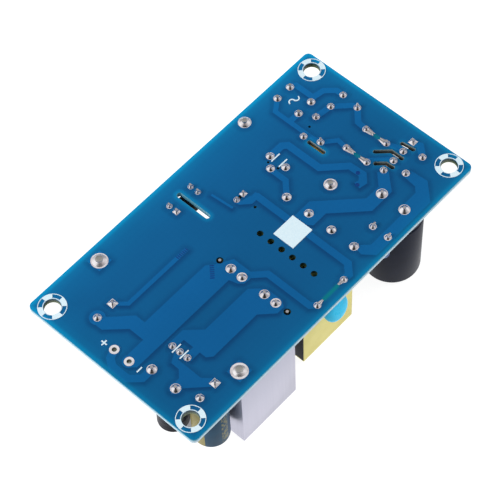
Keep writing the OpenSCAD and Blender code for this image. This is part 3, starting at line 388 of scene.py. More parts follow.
# finishes of the board
boardLook = {
    "mask": (0.0045, 0.0905, 0.236),
    # colour of the painted light at the board's edge and round the slots
    "paintedGlowColor": (0.001, 0.26, 0.5),
    "copper": (0.0045, 0.103, 0.288),
    # colour of a skirt where it is darkest: darker beside the copper, with painted shade on one side
    "inkShade": (0.002, 0.013, 0.088),
    # painted highlight along the rims of the slots
    "rim": (0.07, 0.25, 0.33),
    "bare": (0.003, 0.2, 0.225),
    # painted light along the board's edge: where it starts to fade, where it ends, and its strength
    "edgeGlow": [(0.0, 12.0, 0.1), (0.0, 4.0, 0.16), (0.2, 1.6, 0.5)],
    # how far the painted light round the slots reaches, in millimetres
    "slotGlow": 1.5,
    # painted light across the board: its level at the middle, from where along y it brightens and how fast, and how
    # fast along x, to a metre
    "thin": (1.04, -5.0, 7.5, 0.8),
    # its brightness, and how much its clouds, grain and weave add
    "cloudy": (0.88, 0.18, 0.05, 0.012),
    "weaves": 190,
    # cut laminate: its colour, the colour at its top (mask on the board's edge), how patchy it is and how deep that
    # top colour runs
    "laminates": [
        ("edgeLaminate", (0.5, 0.66, 0.76), (0.02, 0.27, 0.4), 0.1, 0.8),
        # the holes' walls: olive, darker towards the top
        ("holeLaminate", (0.3, 0.36, 0.12), (0.015, 0.05, 0.05), 1.0, 2.4),
        # the slots' walls: painted light in the pale band at the top and painted shade in the dark wall below
        ("slotWallPaintedLightShade", (0.07, 0.075, 0.07), (0.3, 0.35, 0.34), 0.1, 0.7),
        # the long slot's walls: pale blue, painted light
        ("longSlotWallPaintedLight", (0.12, 0.34, 0.46), (0.16, 0.46, 0.6), 0.1, 1.3),
    ],
    "halfSize": (53.0, 28.6),
    # how near a corner or a side a wall still belongs to the board's edge
    "corner": 1.6,
    "side": 0.3,
    # middle lines, widths and strength of the painted light round the slots, and lines of bare laminate between
    # pointed tips
    "slots": [
        ((-3.7, 13.0), (-3.7, 22.7), 1.5, 0.4), ((30.8, 3.7), (30.8, 8.5), 1.15, 0.3),
        ((37.0, -8.9), (38.8, -10.95), 1.15, 0.14), ((38.8, -10.95), (39.0, -13.0), 1.15, 0.14),
        ((39.8, -6.4), (42.65, -9.45), 1.15, 0.14), ((42.65, -9.45), (42.7, -13.0), 1.15, 0.14),
        ((46.4, -10.1), (46.85, -13.4), 1.15, 0.14),
    ],
    "gaps": [((-2.6, -25.75), (2.4, -25.75), 0.85), ((35.8, -3.0), (35.8, -4.2), 0.6),
             ((43.7, -3.0), (43.7, -4.2), 0.6)],
}


def edgeDistance(x, y):
    # Distance in from the nearest edge of the board, in metres.
    halfX, halfY = (h * mm for h in boardLook["halfSize"])
    return (halfX - abs(x)).lower(halfY - abs(y))


def lineDistance(finish, x, y, start, end):
    # Distance from a straight line between two places: the part along it is held between 0 and 1.
    stepX, stepY = (end[0] - start[0]) * mm, (end[1] - start[1]) * mm
    fromX, fromY = x - start[0] * mm, y - start[1] * mm
    part = (fromX * stepX + fromY * stepY) * (1 / (stepX**2 + stepY**2))
    part = part.higher(0.0).lower(1.0)
    overX, overY = fromX - part * stepX, fromY - part * stepY
    return finish.maths("SQRT", overX * overX + overY * overY)


def maskFinish(name, color, glow, shaded=False):
    # Solder mask: satin ink, a little cloudy, with painted light at the board's edge and round the slots, and more
    # painted light towards one corner. A shaded finish is darker where the piece's own attribute says so.
    finish = Finish(name, color, 0.42, Specular_IOR_Level=0.07)
    place = finish.objectPlace()
    x, y = finish.axes(place, "XY")
    if shaded:
        # darker beside the copper, with painted shade on one side, as the piece's attribute says
        depth = finish.node("Attribute", {"attribute_name": "inkShade"}, output=2)
        color = finish.blend(depth, color, boardLook["inkShade"])
    clouds, grain = finish.noise(place, 55, 3), finish.noise(place, 1900, 2)
    weave = sum(finish.node("TexWave", {"wave_type": "BANDS", "bands_direction": way},
                            {"Vector": place, "Scale": boardLook["weaves"], "Distortion": 1.5, "Detail": 1})
                for way in "XY")
    # painted light: the mask brightens towards one corner
    middle, fromY, alongY, alongX = boardLook["thin"]
    thin = middle + (y - fromY * mm).higher(0.0) * alongY + x * alongX
    # painted light along the board's edge and round each slot
    edge = edgeDistance(x, y)
    near = sum((1 - edge.between(low * mm, high * mm)) * level for low, high, level in boardLook["edgeGlow"])
    shown = finish.blend(near * (thin * 1.4 - 0.75) * glow, color, boardLook["paintedGlowColor"])
    slot = 1.0
    for start, end, width, strength in boardLook["slots"]:
        away = lineDistance(finish, x, y, start, end) - width / 2 * mm
        lit = 1 - away.between(0.0, boardLook["slotGlow"] * mm)
        shown = finish.blend(lit * strength, shown, boardLook["paintedGlowColor"])
        slot = away.lower(slot)
    level, cloudy, grainy, woven = boardLook["cloudy"]
    shown = finish.blend(1.0, shown, thin * (level + clouds * cloudy + grain * grainy + weave * woven), "MULTIPLY")
    for start, end, strength in boardLook["gaps"]:
        bare = 1 - lineDistance(finish, x, y, start, end).between(0.1 * mm, 0.9 * mm)
        shown = finish.blend(bare * strength, shown, boardLook["bare"])
    # painted highlight along the rims of the slots
    finish.paint(finish.blend((1 - slot.between(0.05 * mm, 0.16 * mm)) * 0.5, shown, boardLook["rim"]))
    finish.gloss(0.38 + clouds * 0.12 + grain * 0.05)
    finish.bump(grain * 0.5 + weave * 0.3, 0.02, 0.25)
    return finish


maskBlue = maskFinish("solderMask", boardLook["mask"], 1.0)
maskCopper = maskFinish("maskedCopper", boardLook["copper"], 0.7)
maskOutline = maskFinish("shadedSkirtMask", boardLook["mask"], 1.0, True)


def laminateFinish(name, color, top, patchy, cover):
    # Cut glass laminate: layers across the thickness, and another colour over the upper edge: mask on the board's
    # edge, darker on the holes' walls, painted light on the slots' walls.
    finish = Finish(name, color, 0.55)
    place = finish.objectPlace()
    layers = finish.noise(finish.objectPlace(scale=(1, 1, 6)), 900, 3)
    patches = finish.noise(place, 500, 2)
    bare = finish.blend(patches.between(0.45, 0.7) * patchy, color, top)
    height = finish.axes(place, "Z")[0] + layers * (0.3 * mm)
    finish.paint(finish.blend(height.between(-cover * mm, -0.1 * mm), bare, top))
    finish.bump(layers, 0.05, 0.5)
    return finish


laminates = [laminateFinish(*look) for look in boardLook["laminates"]]


def makeBoard():
    halfX, halfY = boardLook["halfSize"]
    corner, side = boardLook["corner"], boardLook["side"]

    def kinds(centres, normals):
        # 0 on the two faces; on a wall 1 at the board's edge, 2 in a hole, 3 in a slot and 4 in the long slot.
        x, y = np.abs(centres[:, 0]), np.abs(centres[:, 1])
        outside = (x > halfX - corner) & (y > halfY - corner) | (x > halfX - side) | (y > halfY - side)
        inSlot = np.zeros(len(centres), dtype=bool)
        for start, end, width, _ in boardLook["slots"]:
            fromStart, step = centres[:, :2] - start, np.subtract(end, start)
            part = np.clip(fromStart @ step / (step @ step), 0, 1)
            inSlot |= np.linalg.norm(fromStart - part[:, None] * step, axis=1) < width / 2 + 0.05
        slotKind = np.where(centres[:, 0] < 0, 4, 3)
        wall = np.where(outside, 1, np.where(inSlot, slotKind, 2))
        return np.where(np.abs(normals[:, 2]) < 0.5, wall, 0)

    dressed("circuit_board", "board", [maskBlue, *laminates], pick=kinds)


makeBoard()
print("board made")


# raised copper with its soft shoulders
trackLook = {
    "top": 0.1,
    "low": 0.006,
    "spacing": 0.7,
    # how far out the rings of a skirt lie, how far it drops steeply, its height in the long slope and in the steep
    # drop, and where its darkening fades and over what length
    "away": [0, 0.1, 0.2, 0.32, 0.5, 0.8, 1.1, 1.5, 2.0],
    "steep": 0.35,
    "rise": (0.04, 0.054),
    "fade": (0.25, 1.6),
    # node, how dark its skirt is painted and how far it reaches, then the same reach inside an outline
    "skirts": [("copper_tracks", 0.33, 2.0), ("copper_pads", 0.2, 1.3)],
    "inside": 0.25,
    # what stays clear of an opening, the step between directions round a corner in radians, how near a joint's
    # middle lies to that of the hole it fills, and how much painted shade darkens the skirt on the side that faces one
    # way
    "clear": 0.08,
    "fan": 0.35,
    "joined": 0.3,
    "oneSidedShade": 0.14,
    "towards": (-0.752, -0.659),
}


def loopsOf(node, height):
    # Outlines of a node's faces at a height, each an array of points in order, with the face on its left.
    work = merged(node)
    tops = dict.fromkeys(f for f in work.faces
                         if f.normal.z > 0.9 and abs(f.calc_center_median().z / mm - height) < 0.02)
    following = {}
    for face in tops:
        for loop in face.loops:
            if sum(other in tops for other in loop.edge.link_faces) == 1:
                following[loop.vert] = loop.link_loop_next.vert
    loops = []
    while following:
        first, vertex = following.popitem()
        loop = [first.co[:2]]
        while vertex is not first and vertex in following:
            loop.append(vertex.co[:2])
            vertex = following.pop(vertex)
        points = np.array(loop) / mm
        before, after = points - np.roll(points, 1, axis=0), np.roll(points, -1, axis=0) - points
        turn = before[:, 0] * after[:, 1] - before[:, 1] * after[:, 0]
        size = np.linalg.norm(before, axis=1) * np.linalg.norm(after, axis=1)
        loops.append(points[np.abs(turn) > 0.002 * size])
    work.free()
    return loops


def outwards(loop):
    # Points along an outline with a direction out of it at each: the normal along a side, the mitred step in a
    # hollow corner, and a fan of directions round a corner that sticks out.
    side = np.roll(loop, -1, axis=0) - loop
    length = np.linalg.norm(side, axis=1)
    heading = np.arctan2(-side[:, 0], side[:, 1])
    turn = (heading - np.roll(heading, 1) + np.pi) % (2 * np.pi) - np.pi
    fan = np.where(turn > 0.05, np.ceil(turn / trackLook["fan"]) + 1, 1).astype(int)
    between = np.ceil(length / trackLook["spacing"]).astype(int) - 1
    count = fan + between
    owner = np.repeat(np.arange(len(loop)), count)
    order = np.arange(count.sum()) - np.repeat(np.cumsum(count) - count, count)
    corner = order < fan[owner]
    part = np.where(corner, 0, (order - fan[owner] + 1) / (between[owner] + 1))
    share = np.where(fan[owner] > 1, order / np.maximum(fan[owner] - 1, 1), 0.5)
    angle = np.where(corner, heading[owner] - turn[owner] * (1 - share), heading[owner])
    mitre = np.where(corner & (fan[owner] == 1), 1 / np.maximum(np.cos(turn[owner] / 2), 0.5), 1)
    points = loop[owner] + side[owner] * part[:, None]
    return points, np.stack([np.cos(angle), np.sin(angle)], 1) * mitre[:, None]


def softStep(part):
    part = np.clip(part, 0, 1)
    return part**2 * (3 - 2 * part)


def shoulders(loop, furthest, shade, openings):
    # A skirt of ink round copper: it drops steeply at first, then thins out to the laminate. Its second array is how
    # dark it is painted, darker beside the copper with painted shade on one side, and it stops short of holes, slots
    # and the board's edge.
    points, out = outwards(loop)
    room = np.min(np.linalg.norm(points[:, None] - openings[None], axis=2), axis=1) - trackLook["clear"]
    away = np.minimum(np.array(trackLook["away"])[:, None], np.clip(room, 0.01, furthest))
    grid = np.empty((*away.shape, 3))
    grid[..., :2] = points + out * away[..., None]
    slope, drop = trackLook["rise"]
    steep = 1 - softStep(away / trackLook["steep"])
    grid[..., 2] = trackLook["low"] + slope * (1 - away / 2) + drop * steep
    grid[-1, :, 2] = trackLook["low"]
    start, length = trackLook["fade"]
    # painted shade: the skirt is darker on the side that faces towards
    depth = shade + trackLook["oneSidedShade"] * (out @ np.array(trackLook["towards"]))
    return grid, depth * (1 - softStep((away - start) / length))


def loopArea(loop):
    x, y = loop[:, 0], loop[:, 1]
    return 0.5 * (x * np.roll(y, -1) - y * np.roll(x, -1)).sum()


def dropFolded(work):
    # Faces of a skirt that fold over in a narrow corner.
    bmesh.ops.delete(work, geom=[face for face in work.faces if face.normal.z < 0.5], context="FACES")


def makeTracks():
    # The flat tops come from the CAD faces; each outline gets a shoulder of ink.
    joints = np.array([(low + high)[:2] / 2 for low, high in nodeIslands("solder_joints")])
    openings = []
    for loop in loopsOf("circuit_board", 0.0):
        middle = (loop.min(0) + loop.max(0)) / 2
        if loopArea(loop) > 0 or np.linalg.norm(joints - middle, axis=1).min() > trackLook["joined"]:
            openings.append(outwards(loop)[0])
    openings = np.concatenate(openings)
    shape, skirtDarkness = Shape(), []
    for node, shade, reach in trackLook["skirts"]:
        for loop in loopsOf(node, trackLook["top"]):
            outer = loopArea(loop) > 0
            if outer or node == "copper_tracks":
                grid, depth = shoulders(loop, reach if outer else trackLook["inside"], shade, openings)
                shape.add(grid, flip=True)
                skirtDarkness.append(depth.ravel())
    edges = shape.piece("trackShoulders", [maskOutline], 60)
    # how dark each point of the skirt is painted: darker beside the copper, with painted shade on one side
    edges.data.attributes.new("inkShade", "FLOAT", "POINT").data.foreach_set("value", np.concatenate(skirtDarkness))
    reworked(edges.data, dropFolded)
    dressed("copper_tracks", "tracks", [maskCopper])


makeTracks()
print("tracks made")


# combs of short bars and capped through-holes under the mask
markLook = {
    # each comb from end to end, and how wide it is
    "combs": [((-18.2, 10.0), (-14.3, 10.0), 1.1), ((-13.7, 2.1), (-16.7, -0.9), 1.2)],
    "bars": 7,
    "barShare": 0.27,
    "barHeights": (0.095, 0.05),
    "caps": [(31.72, -7.4), (28.78, -9.7)],
    "capProfile": [(0.62, 0.09), (0.527, 0.14), (0.372, 0.18), (0.186, 0.2), (0.02, 0.2)],
    "colors": ((0.002, 0.032, 0.18), (0.003, 0.05, 0.2)),
}


def makeMarks():
    # A bar is a small rounded ridge, with a height of sqrt((1 - u^8)(1 - v^2)); a cap is a low dome.
    shape = Shape()
    low, rise = markLook["barHeights"]
    u, v = np.linspace(-1, 1, 9)[:, None, None], np.linspace(-1, 1, 7)[None, :, None]
    for start, end, width in markLook["combs"]:
        step = np.subtract(start, end) / markLook["bars"]
        side = np.array([step[1], -step[0]]) / np.linalg.norm(step) * width / 2
        for i in range(markLook["bars"]):
            flat = start - step * (i + 0.5) + side * u + step * v * markLook["barShare"]
            height = low + rise * np.sqrt((1 - u**8) * (1 - v**2))
            shape.add(np.concatenate([flat, height], -1), closed=False)
    for spot in markLook["caps"]:
        shape.add(turned(markLook["capProfile"], spot, 24), capHigh=True)
    finish = mottledFinish("markMask", markLook["colors"], 0.4, (1500, 2, 0.3, 0.8, 1, 0), (0, 0, 0.02, 0.3),
                           Specular_IOR_Level=0.2)
    piece = shape.piece("maskMarks", [finish], 50)


makeMarks()

# solder and tinned copper
tinLook = {"color": (0.9, 0.87, 0.885), "shade": (0.62, 0.54, 0.57)}


def tinFinish(name, roughness, patches, depth, metallic=1.0):
    # Bright tin: frosty in patches, lumpy, with a faint grain.
    finish = Finish(name, tinLook["color"], roughness, Metallic=metallic)
    place = finish.objectPlace()
    frost, lumps, fine = (finish.noise(place, *scale) for scale in ((patches, 3), (1100, 2), (5200, 2)))
    finish.paint(finish.blend(frost.between(0.4, 0.75) * 0.6, tinLook["color"], tinLook["shade"]))
    finish.gloss(roughness + frost * 0.14)
    finish.bump(frost * 0.5 + lumps + fine * 0.12, depth, 0.5)
    return finish


solder = tinFinish("solder", 0.17, 800, 0.03)
footSolder = tinFinish("footSolder", 0.26, 380, 0.035, 0.86)
tinned = tinFinish("tinnedWire", 0.22, 900, 0.025)
openPad = tinFinish("openPad", 0.38, 500, 0.06, 0.3)

solderLook = {
    "around": 44,
    "rings": 16,
    "low": 0.04,
    # share of the CAD joint's radius, once more for the two large feet, and for joints at these places
    "share": 0.94,
    "footShare": 0.94,
    "odd": {(-31.6, -23.7): 0.89, (24.4, -4.4): 0.89, (-11.4, -17.5): 0.87, (-11.4, -6.1): 0.87, (39.8, -16.8): 0.9,
            (21.7, -26.0): 0.88, (21.7, -21.0): 0.92, (-7.95, 22.3): 0.92, (-38.4, 13.0): 0.96},
    "footAbove": 1.85,
    "flare": (1.0, 1.3),
    # heights of a joint of the usual radius, how they grow with the radius, and how much lower a square one is
    "heights": (0.5, 0.62),
    "usual": 1.1,
    "growth": 0.7,
    "squareDrop": 0.2,
    "squares": [(-38.4, 13.0), (-38.0, -21.5), (7.4, 10.6), (-7.95, 19.78), (48.6, -11.85)],
    "near": 0.4,
    "lean": 0.05,
    "lumps": (0.01, 0.05),
    # the step at the rim: its width as a share of the radius and its height; the peak: its height and radius
    "edge": (0.06, 0.04),
    "peak": (0.42, 0.5),
}


def dome(spot, radius, height, flare, peak, square, lean, lumps):
    # A swollen joint: a shallow cap, z = height times (1 - s^2.1) to the power flare, s being the share of the
    # radius, with a small peak drawn up round the lead; on a square pad it is square to its foot.
    u = circle(solderLook["around"])
    s = np.linspace(1, 0.02, solderLook["rings"])[:, None]
    power = 2 + 12 * square * s**1.5
    outline = (np.abs(np.cos(u)) ** power + np.abs(np.sin(u)) ** power) ** (-1 / power)
    swell = 1 + (lumps[0] * np.cos(u + lumps[2]) + lumps[1] * np.cos(2 * u + lumps[3])) * s
    reach = radius * s * outline * swell
    grid = np.empty((solderLook["rings"], solderLook["around"], 3))
    grid[..., 0] = spot[0] + reach * np.cos(u) + lean[0] * (1 - s)
    grid[..., 1] = spot[1] + reach * np.sin(u) + lean[1] * (1 - s)
    width, step = solderLook["edge"]
    edge = np.clip((1 - s) / width, 0, 1) * step
    drawn = peak * np.exp(-((reach / solderLook["peak"][1]) ** 2))
    grid[..., 2] = solderLook["low"] + edge + height * (1 - s**2.1) ** flare + drawn
    return grid


def makeSolder():
    shape, look = Shape(), solderLook
    for low, high in nodeIslands("solder_joints"):
        spot = (low + high)[:2] / 2
        radius = (high - low)[0] / 2 * look["share"]
        for place, share in look["odd"].items():
            radius *= share if math.dist(spot, place) < look["near"] else 1
        square = any(math.dist(spot, place) < look["near"] for place in look["squares"])
        foot = int(radius > look["footAbove"])
        radius *= look["footShare"] if foot else 1
        height = dice.uniform(*look["heights"]) * (radius / look["usual"]) ** look["growth"]
        height *= 1 - look["squareDrop"] * square
        peak = 0.0 if foot else look["peak"][0]
        lean = dice.normal(0, look["lean"], 2) * (2 if foot else 1)
        lumps = (*dice.uniform(*look["lumps"], 2), *dice.uniform(0, 6.3, 2))
        grid = dome(spot, radius, height, look["flare"][foot], peak, square, lean, lumps)
        shape.add(grid, capLow=True, capHigh=True, kind=foot)
    piece = shape.piece("solder", [solder, footSolder], 60)
    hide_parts("solder_joints")


makeSolder()
print("solder made")

# where a lead leans over or is left long in its joint: foot, middle, end
tailLook = {
    "radius": 0.34,
    "taper": (1.5, 0.75),
    "rings": 14,
    "tails": [
        [(47.5, 6.3, 0.3), (47.6, 6.4, 1.0), (47.9, 6.65, 1.5)],
        [(32.7, 6.3, 0.3), (32.8, 6.4, 1.0), (33.1, 6.65, 1.6)],
        [(21.7, -21.0, 0.3), (21.9, -21.0, 0.9), (22.6, -21.1, 1.2)],
        [(21.7, -26.0, 0.3), (21.9, -26.0, 0.9), (22.6, -26.1, 1.2)],
    ],
}


def makeTails():
    shape = Shape()
    for tail in tailLook["tails"]:
        radius = tailLook["radius"] * np.linspace(*tailLook["taper"], tailLook["rings"])
        shape.add(tube(smoothPath(tail, tailLook["rings"]), radius), capLow=True, capHigh=True, flip=True)
    piece = shape.piece("leadTails", [tinned], 40)


makeTails()

# bare pointed gaps: the base and the point of each tip, its width at the base and the share of it left at the point
gapLook = {
    "low": 0.06,
    "height": 0.42,
    "grid": (14, 17),
    "tips": [
        [(-5.1, -25.75), (-2.9, -25.7), 1.5, 0.3],
        [(4.9, -25.75), (2.7, -25.7), 1.5, 0.3],
        [(35.8, 0.0), (35.8, -2.8), 1.9, 0.5],
        [(43.7, 0.0), (43.7, -2.8), 1.9, 0.5],
        [(35.8, -6.9), (35.8, -4.4), 1.9, 0.5],
        [(43.7, -6.9), (43.7, -4.4), 1.9, 0.5],
    ],
}


def makeGapTips():
    # Ridged tin that narrows to a forked end: its height falls along it and has a furrow down the middle.
    shape = Shape()
    rows, columns = gapLook["grid"]
    u, w = np.linspace(0, 1, rows)[:, None], np.linspace(-1, 1, columns)
    for base, point, width, ending in gapLook["tips"]:
        along = np.subtract(point, base)
        side = np.array([-along[1], along[0]]) / np.linalg.norm(along)
        half = width / 2 * (1 - (1 - ending) * u**1.2)
        split = 1 - 0.24 * ending * (np.cos(w * np.pi) * 0.5 + 0.5) * u**3
        grid = np.empty((rows, columns, 3))
        grid[..., :2] = base + along * (u * split)[..., None] + side * (half * w)[..., None]
        crown = (1 - np.abs(w) ** 3) ** 0.7
        furrow = 1 - 0.5 * np.exp(-((w / 0.28) ** 2)) * u**0.5
        grid[..., 2] = gapLook["low"] + gapLook["height"] * crown * furrow * (1 - 0.5 * u) * (1 - u**10)
        shape.add(grid, closed=False, flip=True)
    piece = shape.piece("gapTips", [tinned], 60)


makeGapTips()
print("lead ends made")


# heatsinks: the height over which the sheet darkens towards the board, a painted shade, and the side that is polished
sheetLook = {
    "colors": ((0.575, 0.57, 0.68), (0.555, 0.55, 0.66)),
    "upper": (0.46, 0.465, 0.565),
    "upperFrom": (-24.0, 0.0),
    "polishedBelow": -35.9,
}


def sheetFinish():
    # Pale satin aluminium: faint upright rolling lines, soft clouds, and painted shade towards the board.
    finish = Finish("sheetAluminium", sheetLook["colors"][0], 0.34, Metallic=0.75)
    place = finish.objectPlace()
    x, z = finish.axes(place, "XZ")
    lines = finish.noise(finish.objectPlace(scale=(1, 1, 0.03)), 1400, 3)
    clouds = finish.noise(place, 130, 2)
    sheet = finish.blend(lines.between(0.3, 0.8), *sheetLook["colors"])
    # painted shade: the sheet is darker towards the board
    finish.paint(finish.blend(z.between(*(h * mm for h in sheetLook["upperFrom"])), sheet, sheetLook["upper"]))
    finish.gloss(0.34 - (x < sheetLook["polishedBelow"] * mm) * 0.27 + lines * 0.04 + clouds * 0.05)
    finish.bump(lines, 0.01, 0.15)
    return finish


sheetAluminium = sheetFinish()
dressed("output_heatsink", "outputHeatsink", [sheetAluminium], 0.18)
dressed("primary_heatsink", "primaryHeatsink", [sheetAluminium], 0.18)
print("heatsinks made")


# plain finishes that several pieces share
def scaled(color, factor, more=0.0):
    return tuple(min(1, c * factor + more) for c in color)


def mouldedFinish(name, color, roughness, perMetre, depth=0.03, shine=0.5):
    # Moulded or shrunk surface: slight mottling and a fine grain.
    return mottledFinish(name, (scaled(color, 0.75), scaled(color, 1.35, 0.004)), roughness - 0.06,
                         (perMetre, 3, 0.3, 0.75, 1, 0.14), (perMetre * 6, 2, depth, 0.35), Specular_IOR_Level=shine)


def metalFinish(name, color, roughness, perMetre=600):
    return mottledFinish(name, (color, scaled(color, 0.7)), roughness, (perMetre, 3, 0.35, 0.8, 0.6, 0.15),
                         (0, 0, 0.03, 0.3), Metallic=1.0)


def dippedFinish(name, color):
    return mottledFinish(name, (color, scaled(color, 0.86)), 0.22, (420, 3, 0.3, 0.8, 1, 0.15), (900, 3, 0.06, 0.3),
                         Specular_IOR_Level=0.28)


whitePrint = mottledFinish("whitePrint", ((0.74, 0.9, 0.97), (0.68, 0.86, 0.95)), 0.5,
                           (2600, 3, 0.35, 0.75, 1, 0), (0, 0, 0.02, 0.3))
ferrite = mouldedFinish("ferrite", (0.015, 0.016, 0.022), 0.55, 1500, 0.04, 0.15)
blackMoulding = mouldedFinish("blackMoulding", (0.009, 0.01, 0.014), 0.45, 900, 0.03, 0.15)
terminalGreen = mouldedFinish("terminalGreen", (0.02, 0.2, 0.055), 0.42, 500)
filmYellow = mouldedFinish("filmCase", (0.72, 0.5, 0.06), 0.35, 500)
insulator = mouldedFinish("insulator", (0.5, 0.49, 0.47), 0.6, 700)
rubberSeal = mouldedFinish("rubberSeal", (0.02, 0.02, 0.02), 0.7, 1200)
chipBody = mouldedFinish("chipBody", (0.03, 0.027, 0.025), 0.4, 2500)
blackSleeve = mouldedFinish("blackSleeve", (0.004, 0.0055, 0.014), 0.34, 300, 0.08, 0.07)
platedSteel = metalFinish("platedSteel", (0.75, 0.74, 0.7), 0.28)
canEnd = metalFinish("canEnd", (0.72, 0.72, 0.74), 0.35, 300)
copperWire = metalFinish("enamelledWire", (0.68, 0.3, 0.12), 0.3)
discBlue = dippedFinish("discCoating", (0.011, 0.63, 1.0))
dippedBlue = dippedFinish("dippedCoating", (0.02, 0.1, 0.33))
dippedGreen = dippedFinish("thermistorCoating", (0.014, 0.04, 0.022))
# thin glossy tape, deeper where layers overlap, with faint wrinkles along it
windingTape = mottledFinish("windingTape", ((0.82, 0.73, 0.2), (0.74, 0.65, 0.155)), 0.26,
                            (160, 3, 0.3, 0.75, 1, 0.14), (420, 3, 0.12, 0.35), (0.25, 1, 1),
                            Specular_IOR_Level=0.35)


# transformer
tapeLook = {"corner": 0.45, "wall": 0.22, "across": 12, "straight": 16}


def makeTape():
    # A band round the core: a rectangle with round corners in y and z, carried across the core in x.
    low, high = nodeBox("transformer_tape")
    x = np.linspace(low[0], high[0], tapeLook["across"])
    half, centre = (high - low)[1:] / 2, (high + low)[1:] / 2
    corner = tapeLook["corner"]
    straight = np.linspace(0, 1, tapeLook["straight"], endpoint=False)[1:, None]

    def sheet(shrink):
        # Four quarter circles joined by straight runs, all drawn in by the shrink.
        radius, arcs, loop = max(corner - shrink, 0.05), [], []
        for i, sign in enumerate([(1, 1), (-1, 1), (-1, -1), (1, -1)]):
            arcs.append(quarter(sign * (half - corner), radius, i))
        for arc, after in zip(arcs, arcs[1:] + arcs[:1]):
            loop += [arc, arc[-1] + (after[0] - arc[-1]) * straight]
        loop = np.concatenate(loop)
        grid = np.empty((len(x), len(loop), 3))
        grid[..., 0], grid[..., 1:] = x[:, None], centre + loop
        return grid

    shape = Shape()
    shape.add(np.concatenate([sheet(0.0), sheet(tapeLook["wall"])[::-1]]), looped=True)
    piece = shape.piece("transformerTape", [windingTape], 40)
    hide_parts("transformer_tape")


makeTape()
dressed("transformer_core_lower", "coreLower", [ferrite], 0.25)
dressed("transformer_core_upper", "coreUpper", [ferrite], 0.25)
dressed("transformer_bobbin", "bobbin", [blackMoulding], 0.15)
print("transformer made")


# cans: each stripe of a sleeve is an angle and a half width in degrees, and a strength
bulkColors, outputColors = ((0.005, 0.008, 0.022), (0.3, 0.3, 0.32)), ((0.006, 0.05, 0.1), (0.3, 0.26, 0.1))
outputStripes = [(173, 32, 1), (-88, 13, 0.6), (20, 12, 1)]
canLook = {
    "around": 96,
    "lip": 1.5,
    "cans": [
        ("bulk_capacitor", "bulkCan", "bulk_sleeve", bulkColors, [(150, 13, 1)]),
        ("bias_capacitor", "biasCan", "bulk_sleeve", bulkColors, [(20, 20, 1)]),
        ("output_capacitor_near", "outputCanNear", "output_sleeve", outputColors, outputStripes),
        ("output_capacitor_far", "outputCanFar", "output_sleeve", outputColors, outputStripes),
    ],
    # the cross pressed into the end: its depth, its width and reach as shares, and the least radius that has one
    "cross": (0.16, 0.035, 0.86, 4),
}


def sleeveFinish(name, centre, colors, stripes):
    # Shrunk sleeve with upright stripes. A weak stripe is worn into patches.
    base, stripe = colors
    finish = Finish(name, base, 0.3, Specular_IOR_Level=0.1)
    worn = finish.noise(finish.objectPlace(scale=(1, 1, 0.7)), 1500, 2).between(0.42, 0.6)
    place = finish.objectPlace(centre=(*centre, 0))
    x, y = finish.axes(place, "XY")
    angle = finish.maths("ARCTAN2", y, x) * (180 / math.pi)
    mask = 0.0
    for middle, half, strength in stripes:
        away = abs(finish.maths("WRAP", angle - middle, 180.0, -180.0))
        band = (1 - away.between(half - 0.6, half + 0.6)) * strength
        mask = (band if strength == 1 else band * worn) + mask
    cloud = finish.noise(place, 240, 2)
    finish.paint(finish.blend(mask, finish.blend(cloud.between(0.3, 0.8), base, scaled(base, 1.25, 0.002)), stripe))
    finish.gloss(0.3 + cloud * 0.1)
    finish.bump(finish.noise(finish.objectPlace(centre=(*centre, 0), scale=(1, 1, 0.15)), 260, 2), 0.1, 0.25)
    return finish


def canProfile(radius, length):
    # Radius and distance from the board: from the sleeve's lip round the seal, over the rolled groove, to the curl
    # on the far end.
    groove = np.linspace(0, 1, 9)
    foot = [(radius - 1.0, 0.12), (radius - 0.75, 0), (radius - 0.35, 0.03), (radius - 0.08, 0.25)]
    neck = np.stack([radius - 0.42 * np.sin(np.pi * groove) ** 2, 1.3 + 1.4 * groove], 1)
    curl = quarter((radius - 0.75, length - 0.75), 0.75, 0)
    lip = [(radius - 1.3, length), (radius - 1.45, length - 0.06), (radius - canLook["lip"], length - 0.16)]
    return np.concatenate([foot, neck, curl, lip])


def makeCan(node, name, slotName, colors, stripes):
    # Turned sleeve, and a bare can end inside its lip with a pressed cross.
    low, high = nodeBox(node)
    centre, radius = (low + high)[:2] / 2, (high - low)[0] / 2
    shape, around = Shape(), canLook["around"]
    profile = canProfile(radius, high[2] - low[2]) * (1, -1) + (0, high[2])
    shape.add(turned(profile, centre, around), flip=True)
    rings = np.linspace(1, 0.02, 12)[:, None]
    angle = circle(around)
    bare = radius - canLook["lip"]
    x, y = bare * rings * np.cos(angle), bare * rings * np.sin(angle)
    depth, width, reach, least = canLook["cross"]
    press = np.minimum(np.abs(x), np.abs(y)) / radius
    dent = depth * np.exp(-((press / width) ** 2)) * (rings < reach) * (radius > least)
    endGrid = np.stack([centre[0] + x, centre[1] + y, low[2] + 0.16 + dent], -1)
    shape.add(endGrid, capHigh=True, kind=1, flip=True)
    seat = turned([(radius - 1.0, high[2] - 0.12), (radius - 1.05, high[2] - 2.2)], centre, around)
    shape.add(seat, flip=True)
    piece = shape.piece(name, [sleeveFinish(name + "Sleeve", centre, colors, stripes), canEnd], 40)
    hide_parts(node)


for look in canLook["cans"]:
    makeCan(*look)
print("cans made")


# output inductor
inductorLook = {"around": 64, "curl": 0.6, "flange": 1.2, "wave": 0.12, "waves": 9}


